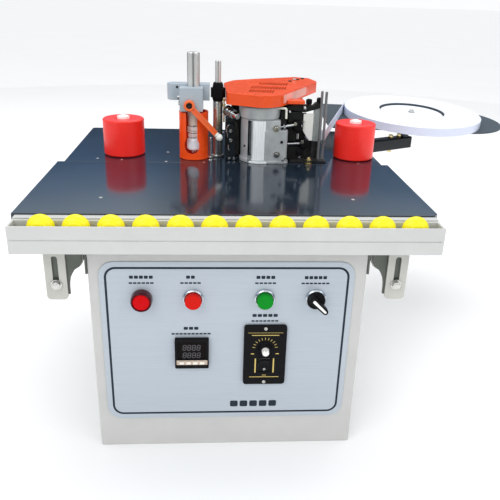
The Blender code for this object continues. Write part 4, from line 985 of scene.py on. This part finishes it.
def glue_pot():
    """Pot casting with its funnel ring, groove, boss and a front strip in painted highlight."""
    pot = at(POT_X, POT_Y, 0)
    bore = lathe(plain(0, POT_BORE_R, 490, 378), pot, 64)
    groove = brick((37.6, 30, DECK + 0.8), (43.6, 60, 440.5), edge=0.3)
    shaft = lathe(plain(0, 7, 490, 350), at(DRIVE_X, DRIVE_Y, 0), 32)
    wall = [(0, POT_TOP), (35.2, POT_TOP), (36.2, POT_TOP - 1.2), (34.8, 444), (33.5, 442.4),
        (32.5, 442.4), (32.5, 375.5), (34.5, 373.5), (34.5, DECK), (0, DECK)]
    body = carve(lathe(wall, pot, 112), [bore, groove])
    outline = softened([(64, 43), (102, 46), (106, 51), (106, 122), (72, 122), (62, 108)], 4)
    boss = carve(slab(outline, 56.5, up(DECK + 28.25), 1.4), [bore, shaft])
    outline = softened([(64, 44), (90, 45.5), (93, 49), (93, 115), (72, 120), (62, 108)], 4)
    upper = carve(slab(outline, 72, up(DECK + 37.5), 1.4), [bore, shaft])
    outline = softened([(56, 42), (104, 44), (108, 49), (108, 124), (70, 124)], 4)
    base = carve(slab(outline, 4, up(DECK + 2), 0.6), [bore, shaft])
    add("glue_pot_casting", CAST, [body, boss, upper, base], stands_for=["glue_pot"])
    # The front strip and the lip at its foot are near-white: painted highlight
    front = arc(POT_X, POT_Y, 34, -113, -76, 14)
    back = arc(POT_X, POT_Y, 30.5, -76, -113, 14)
    strip = slab(front + back, 70, up(405.5), 0.4)
    lip = slab(arc(POT_X, POT_Y, 36.8, -122, -72, 16) + arc(POT_X, POT_Y, 33, -72, -122, 16), 3.6,
        up(DECK + 1.8), 0.5)
    add("pot_front_painted_highlight", MILLED_PAINTED_HIGHLIGHT, [strip, lip])
    bolts = []
    for x, z in ((85, 429), (87.5, 384)):
        bolts += hex_bolt(7.8, 4, facing(x, z, 44.2))
    for x, z in ((98.5, 373.5), (103, 377)):
        bolts += cap_screw(2.2, 2.4, facing(x, z, 46))
    add("pot_bolts", BOLTS, bolts)
    dark = cap_screw(2.6, 1, facing(95.2, 405.5, 45.6))
    dark += cap_screw(1.9, 1.2, facing(33, 396, 57.2) @ turn("Y", -52))
    dark += washer(4.6, 2, 5, at(97, 60, 424) @ turn("Y", 90))
    dark += [brick((93.8, 60, 429), (103.5, 90, 457.5), edge=1.2)]
    add("pot_valve_body", HOLDER, dark)


def gears_and_rollers():
    keep(STEEL, "drive_shaft", "glue_roller", edge=0.2)
    ribbed = [(3.9, 440), (9.5, 440), (11, 438.8), (11, 375.7), (9.5, 374.5), (3.9, 374.5)]
    ribs = [brick((10.7, -0.5, 377.5), (11.2, 0.5, 437), turn("Z", n * 12), 0.2) for n in range(30)]
    add("pinch_roller_tyre", RUBBER, [lathe(ribbed), *ribs], at(PINCH_X, PINCH_Y, 0),
        ["feed_roller"], body="feed_roller")
    keep(OXIDE, "head_frame", edge=0.8)
    case = [(0, 200), (7, 200), (7, 325.2), (33, 325.2), (36, 325.2), (43, 325.2), (45, 324),
        (45, 287), (43, 285), (41, 285), (41, 173), (35, 164), (0, 163)]
    fins = [lathe([(40.8, z + 1.2), (42.5, z + 1), (42.5, z - 1), (40.8, z - 1.2)], steps=48)
        for z in (185 + 9 * n for n in range(11))]
    add("drive_motor_case", BLACK, [lathe(case, steps=64), *fins], at(DRIVE_X, DRIVE_Y, 0),
        ["drive_motor"])


def hood():
    """Orange cover: a top sheet with slanted vents, side walls, screws and a blank sticker."""
    rounded_outline = softened(HOOD_OUTLINE, 6)
    inner = softened(inset(HOOD_OUTLINE, 2), 5)
    vents = []
    for x0, y0, count in ((66, 179, 11), (48, 129, 13), (42, 85, 9)):
        for n in range(count):
            place = at(x0 + n * 4.8, y0 - n * 0.6, 0) @ turn("Z", -13)
            vents.append(slab(rounded(-1.25, -17, 1.25, 17, 1.15, 3), 8, up(HOOD_TOP) @ place, 0))
    height = HOOD_TOP - HOOD_BOTTOM
    top = carve(slab(rounded_outline, 2, up(HOOD_TOP - 1), 0.9), vents)
    lip = slab(softened(inset(HOOD_OUTLINE, -0.4), 6), 1.8, up(HOOD_BOTTOM + 0.9), 0.5, [inner])
    walls = slab(rounded_outline, height - 1, at(0, 0, HOOD_BOTTOM + (height - 1) / 2), 0.4,
        [inner])
    tab = slab(rounded(104, 64, 134.5, 90, 2), 5.5, up(469.5), 0.8)
    add("cover_shell", HOOD_PAINT, [top, walls, lip, tab], stands_for=["head_cover"])
    # Thin dark sheet just under the top: painted shade seen through the vents
    under = softened(inset(HOOD_OUTLINE, 2.4), 5)
    add("cover_vent_painted_shade", SHADE, [slab(under, 0.6, up(HOOD_TOP - 3.6), 0)])
    screws = []
    for x, y in ((125.4, 212.5), (143, 236.6), (154.5, 253.2)):
        screws += cap_screw(3.4, 1.8, at(x, y, HOOD_TOP))
    add("cover_screws", OXIDE, screws)
    add("cover_bolt", BOLTS, [lathe([(0, 3), (3.4, 3), (4, 2.2), (4, 0), (0, 0)],
        at(136.2, 233, HOOD_TOP), 40)])
    (ax, ay), (bx, by) = HOOD_OUTLINE[5:7]
    length = hypot(bx - ax, by - ay)
    wall = at(ax, ay, 0) @ spin(atan2(by - ay, bx - ax)) @ turn("X", 90)
    sticker = slab(rounded(0.04 * length, 469, 0.66 * length, 482.5, 1.5), 0.3, wall @ up(0.1), 0)
    add("cover_sticker", PAPER, [sticker])


def inset(outline, distance):
    """Each side of a counter-clockwise outline moved inwards."""
    moved = []
    for i, point in enumerate(outline):
        corner = Vector(point)
        into, out = corner - Vector(outline[i - 1]), Vector(outline[
            (i + 1) % len(outline)]) - corner
        n1, n2 = into.orthogonal().normalized(), out.orthogonal().normalized()
        moved.append(tuple(corner + (n1 + n2) * distance / (1 + n1.dot(n2))))
    return moved


def place_by(mesh, right):
    """Move a mesh along X."""
    mesh.transform(at(right, 0, 0))
    return mesh


def end_cutter():
    """Left of the pot: black bracket with round screws and a clip, and a spring on its barrel."""
    outline = softened([(-3, DECK), (14, DECK), (14, 386), (12, 390), (14, 396), (14, 422),
        (9, 430), (3, 430), (-0.5, 424), (-0.5, 408), (1.5, 404), (1.5, 390), (-3, 384)], 1.5)
    plates = [slab(outline, 7, facing(0, 0, 72.5), 0.9), brick((-3.5, 76, DECK), (11, 108, 438),
        edge=1.4), brick((-3.5, 66.5, DECK), (19, 108, DECK + 5), edge=1),
        brick((0, 74, 430), (15, 90, 442), edge=3)]
    plates = [place_by(plate, 3) for plate in plates]
    add("end_cutter_bracket", BLACK, plates, stands_for=["end_cutter"])
    side = softened([(12.5, DECK + 5), (21.5, DECK + 5), (22.5, 390), (21, 420), (17.5, 434),
        (12.5, 434)], 2)
    slide = [slab(side, 22, facing(0, 0, 90), 1.2), slab(softened([(13.5, 375), (20.5, 378),
        (19.5, 390), (14, 386)], 1), 6, facing(0, 0, 78), 0.8), brick((10, 100, DECK),
        (30, 112, 456), edge=2)]
    slide[0], slide[1] = place_by(slide[0], 2), place_by(slide[1], 2)
    add("end_cutter_slide", OXIDE, slide)
    studs = []
    for x, z in ((8.4, 418.5), (8.9, 402.5)):
        studs += hex_nut(5.6, 2.6, facing(x, z, 69)) + cap_screw(2.2, 4.4, facing(x, z, 69))
    for x in (6.5, 15):
        studs += cap_screw(2.2, 2, facing(x, DECK + 3, 66.5))
    studs += [tube([(4.6, 68, 395), (5, 68, 388), (6.2, 68.5, 385)], 1.3),
        tube([(6.2, 68, 429), (3.4, 68, 427.5), (1.6, 68, 423), (1.6, 68, 418), (3, 68, 414),
        (3.6, 68.5, 407)], 0.9, sides=10)]
    add("end_cutter_studs", STEEL, studs)
    axis = at(7.5, 81.5, 448.5) @ turn("Z", 40) @ turn("X", 104)
    barrel = [(0, 21.5), (4.4, 21.5), (5.8, 20), (6, 13), (5.2, 12.4), (5.2, 11.2), (8, 10.6),
        (8.6, 9.6), (8, 8.4), (5.6, 8), (5.6, 6.6), (7.8, 6), (8.4, 5), (7.8, 4), (5.6, 3.6),
        (5.6, -6), (0, -6)]
    add("spring_barrel", CHROME, [lathe(barrel, axis)] + spring(8, 1.1, 9.5, 3, axis @ up(-6.2)))
    back = [(0, -5), (8.8, -5), (9.4, -6), (9.4, -8.5), (0, -8.5)]
    add("spring_seat", OXIDE, [lathe(back, axis)])
    studs = [lathe([(0, z + 2.5), (2.2, z + 2.5), (2.6, z + 1.5), (2.6, z - 1.5), (1.8, z - 2),
        (0, z - 2)], at(-3, 83, 0), 24) for z in (460, 469)]
    add("cover_stud_left", BRASS, studs + [tube([(-3, 83, 431), (-3, 83, 469)], 1.4)])


def dial(radius, height, place):
    """Small knurled disc."""
    shape = [(0, height), (radius * 0.78, height), (radius, height * 0.75), (radius, 0), (0, 0)]
    grips = [brick((radius * 0.97, -0.5, 0.6), (radius * 1.06, 0.5, height * 0.8),
        place @ turn("Z", k * 24), 0.2) for k in range(15)]
    return [lathe(shape, place, 48), *grips]


def guide_head():
    """Right of the pot: guide plates, posts, fittings and the pinch roller's holder."""
    outline = softened([(152.2, 401.5), (167.6, 401.5), (167.6, 464), (164, 465), (152.2, 456)],
        1.2)
    ridges = [brick((x, 71.6, 402.5), (x + 0.9, 73.6, 455), edge=0.3) for x in (153.4, 156)]
    add("tape_guide_plate", CAST, [slab(outline, 6, facing(0, 0, 76.5), 0.7), *ridges],
        stands_for=["tape_guide"])
    foot = slab(softened([(112, 52), (172, 52), (176, 60), (176, 100), (112, 100)], 3), 4,
        up(DECK + 2), 0.6)
    dark = [foot, brick((134, 78.5, DECK), (167.6, 99, 401), edge=1),
        brick((150.8, 73.5, DECK), (167.6, 77.5, 401)), brick((159, 70, 385), (166.8, 73.8, 387.5))]
    add("tape_guide_foot", OXIDE, dark)
    fence = softened([(134.5, 449), (134.5, 420), (146, 403), (151.8, 403), (152.2, 449.5)], 1)
    add("tape_fence", WHITE, [slab(fence, 5, facing(0, 0, 74.5), 0.7)])
    posts = [lathe([(0, top), (1.6, top), (2.3, top - 0.8), (2.3, DECK), (0, DECK)], at(x, 68, 0),
        24) for x, top in ((163.4, 489), (171, 488))]
    add("tape_guide_posts", POST, posts)
    arm = softened([(105, 456), (136, 452), (150, 456), (164, 461), (164, 468), (154, 469),
        (150, 464), (138, 465), (105, 462)], 1.5)
    holder = [slab(arm, 12, facing(0, 0, 76), 0.8), brick((107, 72, 432), (133, 90, 453), edge=3),
        brick((109, 99, DECK), (133, 107, 450), edge=1.2), brick((108, 70, 402), (124.5, 80, 433),
        edge=1.2), brick((106, 64, 371), (134, 73, 394), edge=2),
        brick((132, 66, 370), (142, 76, 396), edge=2.5), brick((122.5, 77.7, 395), (140, 80, 450),
        edge=0.6)]
    add("pinch_holder", HOLDER, holder)
    swivel = dial(9.8, 7.5, facing(122.8, 429.5, 69) @ turn("Y", 24))
    swivel += dial(9.2, 7.5, facing(135.2, 399, 68) @ turn("Y", 24))
    swivel += dial(5.8, 6, facing(129, 385, 65))
    add("feed_swivels", PLASTIC, swivel)
    bend = [(99 + x, 57, 457.4 + z) for x, z in arc(0, 0, 3.2, 90, -4, 6)]
    add("hanger_rod", CREAM, [tube([(86.5, 57, 460.6)] + bend + [(102.4, 57, 443.5)], 1.9)])
    along = at(98.5, 56, 430) @ turn("Y", 84)
    cone = [(0, 6), (1.8, 5.8), (2.2, 4), (5, 0.4), (5, 0), (0, 0)]
    bright = [tube([(87, 54.5, 428.5), (99, 56, 430)], 1.5), tube([(101, 56.5, 430.3),
        (116.5, 60, 432.2)], 2.3), lathe(cone, along, 32), tube([(107, 60, 399.2),
        (127.8, 60, 400.3)], 2.3), tube([(124.5, 62, 408.5), (124.3, 62, 417.5)], 2.1)]
    bright += hex_nut(5.8, 2.2, facing(132.5, 403.5, 59))
    bright += hex_nut(5.6, 2.2, facing(119, 434, 60) @ turn("Z", 20))
    bright += cap_screw(1.7, 2, facing(131, 431, 64)) + cap_screw(1.6, 1.8, facing(134.5, 437, 70))
    ball = ball_profile(3.2, 16)
    bright += [lathe(ball, at(109.2, 68, 453.3), 32, 0), lathe(ball, at(135, 68, 460), 32, 0)]
    bright += cap_screw(2, 1.6, facing(130, 376, 64))
    add("feed_fittings", STEEL, bright)
    knobs = []
    for x, y, z in ((142.5, 74, 465.5), (160.8, 74, 468)):
        knobs.append(lathe([(0, 9), (4, 9), (5.2, 7.4), (5.4, 2), (4, 0), (0, 0)], at(x, y, z), 40))
    add("guide_knobs", PLASTIC, knobs)
    nut_at = at(144, 47.5, DECK)
    add("table_nut", BRASS, washer(6.6, 2, 1, nut_at) + hex_nut(9.2, 6.6, nut_at @ up(1))
        + [lathe([(0, 11), (2.2, 11), (3, 10), (3, 6.6), (0, 6.6)], nut_at)])
    add("edge_stop", BLACK, [slab(rounded(154.5, 50, 175.5, 56, 1), 2.2, up(DECK + 1.1), 0.5)])
    axle = [lathe(plain(0, 3.5, 444, DECK + 4), at(PINCH_X, PINCH_Y, 0), 32)]
    add("pinch_axle", STEEL, axle)


# ---------------------------------------------------------------- tape

def leaned(along=0.0):
    """Place on the coil's axis, a distance below its top face."""
    tilt = spin(TILT_RIGHT, "Y") @ spin(TILT_BACK, "X")
    return at(*COIL_PLACE) @ tilt @ up(-along)


def tape():
    """Coil wound in visible layers, the tray with its hub and post, the arm and the taut tape."""
    layers = [(COIL_HOLE_R, -COIL_T)]
    count = 38
    step = (COIL_R - COIL_HOLE_R - 1) / count
    for n in range(count):
        radius = COIL_HOLE_R + 0.5 + n * step
        sink = 0.35 + 0.35 * sin(n * 1.7) * sin(n * 0.6)
        layers += [(radius + step * 0.1, -sink), (radius + step * 0.8, -sink),
            (radius + step * 0.95, -sink - 0.6)]
    inner = COIL_HOLE_R + 1.2
    profile = [(inner, -0.6)] + layers[4:] + [(COIL_R - 0.5, -0.5), (COIL_R - 0.5, -COIL_T),
        (inner, -COIL_T)]
    # The core in the tray's dark slate: painted shade on the inner wall of the coil's hole
    core = [(COIL_HOLE_R, -1), (inner - 0.1, -0.8), (inner - 0.1, -COIL_T), (COIL_HOLE_R, -COIL_T)]
    add("tape_coil_core_painted_shade", SLATE, [lathe(core, steps=120, soft=0.0)], leaned(), body="tape_coil")
    add("tape_coil_windings", TAPE, [lathe(profile, steps=160, soft=0.0)], leaned(), ["tape_coil"],
        body="tape_coil")
    # The coil's outer face in the shaded tape colour: painted shade
    edge = [(COIL_R - 0.4, -0.5), (COIL_R, -0.8), (COIL_R, -COIL_T + 0.2), (COIL_R - 0.4, -COIL_T)]
    add("tape_coil_outer_turn", TAPE_FACE_PAINTED_SHADE, [lathe(edge, steps=160, soft=0.0)], leaned(),
        body="tape_coil")
    tray()
    frame_arm()
    # The taut tape is in the shaded tape colour as well: painted shade
    keep(TAPE_FACE_PAINTED_SHADE, "tape_strip")


def tray():
    """Oblong plate, round at its outer end, with the coil's hub, its post and the white disc."""
    half, reach = 102, 198
    outline = arc(reach - half, 0, half, -90, 90, 40) + rounded(-reach, -half, 0, half, 15, 6)[14:]
    plate = slab(outline, 3, leaned(COIL_T + 0.3 + 1.5), 0.9)
    hub = lathe([(0, 6), (15, 6), (60, 6), (64, 4), (64, -0.5), (0, -0.5)], leaned(COIL_T + 0.3),
        96, 1)
    x, y = arm_point(-15)
    post = lathe(plain(0, 11, 393.5, TABLE_UNDER), at(x, y, 0), 48)
    add("tray_plate", SLATE, [plate, hub, post], stands_for=["tape_tray"])
    disc = lathe([(0, -4.5), (65.5, -4.5), (67.6, -5.5), (67.6, -10.5), (64, -11.2), (0, -11.2)],
        leaned(), 96, 0.5)
    add("hub_disc", TAPE, [disc])
    add("hub_bolt", BOLTS, hex_bolt(10, 4, leaned(4.5)))


def arm_point(along):
    """A point on the arm's centre line, measured from its outer end."""
    return (ARM_END[0] + along * cos(ARM_ANGLE), ARM_END[1] + along * sin(ARM_ANGLE))


def frame_arm():
    """Square tube arm with its foot, and the bolts of the tray's post."""
    half = ARM_SIDE / 2
    middle = TABLE_UNDER - 0.5 - half
    place = at(*ARM_END, middle) @ spin(ARM_ANGLE)
    section = rounded(-half, -half, half, half, 2.8, 4)
    bore = rounded(-half + 2, -half + 2, half - 2, half - 2, 1.2, 4)
    tube_body = slab(section, 347, place @ at(-176.5, 0, 0) @ turn("Y", 90), 0.3, [bore])
    cap = slab(section, 3, place @ at(-1.5, 0, 0) @ turn("Y", 90), 0.6)
    x, y = arm_point(-320)
    foot = brick((x - 20, y - 12, CABINET_H + 0.3), (x + 20, y + 12, middle - half + 1), edge=0.8)
    add("arm_tube", BLACK, [tube_body, cap, foot], stands_for=["tray_arm"])
    bolts = []
    for along in (-28, -52):
        x, y = arm_point(along)
        bolts += hex_bolt(9, 5, at(x, y, middle + half))
        if along < -30:
            bolts += hex_bolt(9, 5, at(x, y, middle - half) @ turn("X", 180))
    add("arm_bolts", BRASS, bolts)


# ---------------------------------------------------------------- stage

def softbox(name, place, target, width, height, power, colour=(1, 1, 1)):
    data = bpy.data.lights.new(name, "AREA")
    data.shape = "RECTANGLE"
    data.size, data.size_y = width, height
    data.energy = power
    data.color = colour
    light = place_object(name, data)
    light.location = place
    light.rotation_euler = (Vector(target) - Vector(place)).to_track_quat("-Z", "Y").to_euler()
    return light


def surround_glow():
    """Dim blue near the horizon and bright above, brighter on the left, seen only in gloss."""
    made = bpy.data.materials.new("surround")
    made.use_nodes = True
    tree = made.node_tree
    shader = tree.nodes["Principled BSDF"]
    fill(shader, Base_Color=(0, 0, 0, 1), Emission_Strength=1.0)
    place = tree.nodes.new("ShaderNodeTexCoord")
    axes = tree.nodes.new("ShaderNodeSeparateXYZ")
    link(place, "Object", axes, "Vector")
    height = node(tree, "ShaderNodeMapRange", From_Max=2.2)
    link(axes, "Z", height, "Value")
    ramp = tree.nodes.new("ShaderNodeValToRGB")
    stops = [(0.0, (0.06, 0.07, 0.08)), (0.44, (0.015, 0.035, 0.06)), (0.56, (0.05, 0.13, 0.28)),
        (0.66, (0.20, 0.33, 0.52)), (0.80, (0.75, 0.86, 0.95)), (1.0, (0.9, 0.95, 1.0))]
    ramp.color_ramp.elements[0].position, ramp.color_ramp.elements[0].color = stops[0][0], (
        *stops[0][1], 1)
    ramp.color_ramp.elements[1].position, ramp.color_ramp.elements[1].color = stops[-1][0], (
        *stops[-1][1], 1)
    for position, colour in stops[1:-1]:
        ramp.color_ramp.elements.new(position).color = (*colour, 1)
    link(height, "Result", ramp, "Fac")
    across = node(tree, "ShaderNodeMapRange", From_Min=-1.5, From_Max=1.5)
    link(axes, "X", across, "Value")
    side = tree.nodes.new("ShaderNodeValToRGB")
    for element, (position, value) in zip([side.color_ramp.elements[0], side.color_ramp.elements[1],
            *[side.color_ramp.elements.new(p) for p in (0.30, 0.47, 0.62, 0.75)]],
            ((0.0, 1.0), (1.0, 0.45), (0.30, 1.0), (0.47, 0.30), (0.62, 0.26), (0.75, 0.55))):
        element.position, element.color = position, (value, value, value, 1)
    link(across, "Result", side, "Fac")
    scaled = tree.nodes.new("ShaderNodeVectorMath")
    scaled.operation = "SCALE"
    link(ramp, "Color", scaled, "Vector")
    link(side, "Color", scaled, "Scale")
    link(scaled, "Vector", shader, "Emission Color")
    return made


def studio():
    """Pale floor, soft light from all sides, and a surround that only gloss shows."""
    scene = bpy.context.scene
    world = bpy.data.worlds.new("studio")
    world.use_nodes = True
    fill(world.node_tree.nodes["Background"], Color=(0.97, 0.985, 1.0, 1), Strength=1.0)
    scene.world = world
    floor = place_object("floor", slab(rounded(-40000, -40000, 40000, 40000, 1000), 20,
        up(-10.5), 0))
    floor.data.materials.append(finish("pale floor", "white_paint", (0.93, 0.93, 0.93), 0.7,
        tone=0.01, grain=1.5, bump=0.02))
    surround = bpy.data.objects.new("surround", lathe(plain(3200, 3250, 2200, 0), at(0, 400, 0),
        96))
    scene.collection.objects.link(surround)
    surround.data.materials.append(surround_glow())
    surround.visible_camera = surround.visible_diffuse = surround.visible_shadow = False
    softbox("key", (-1.3, -2.0, 2.4), (0, 0, 0.25), 1.8, 1.4, 22)
    softbox("fill", (1.8, -1.6, 1.4), (0.1, 0, 0.3), 1.4, 1.2, 7)
    softbox("top", (0.2, 0.8, 2.6), (0.1, 0.1, 0.3), 2.4, 1.6, 26)

    data = bpy.data.cameras.new("camera")
    data.lens = CAMERA_LENS
    data.sensor_width = 36.0
    data.clip_start, data.clip_end = 0.05, 200.0
    camera = place_object("camera", data)
    camera.matrix_world = (at(*CAMERA_PLACE) @ spin(-CAMERA_YAW) @ spin(pi / 2 - CAMERA_PITCH, "X")
        @ spin(CAMERA_ROLL))
    scene.camera = camera
    scene.view_settings.view_transform = "Standard"


studio()
cabinet()
keep(LABEL, "control_panel")
printed_marks()
controls()
table()
rail()
supports()
guide_rollers()
trim_unit()
glue_pot()
gears_and_rollers()
hood()
end_cutter()
guide_head()
tape()
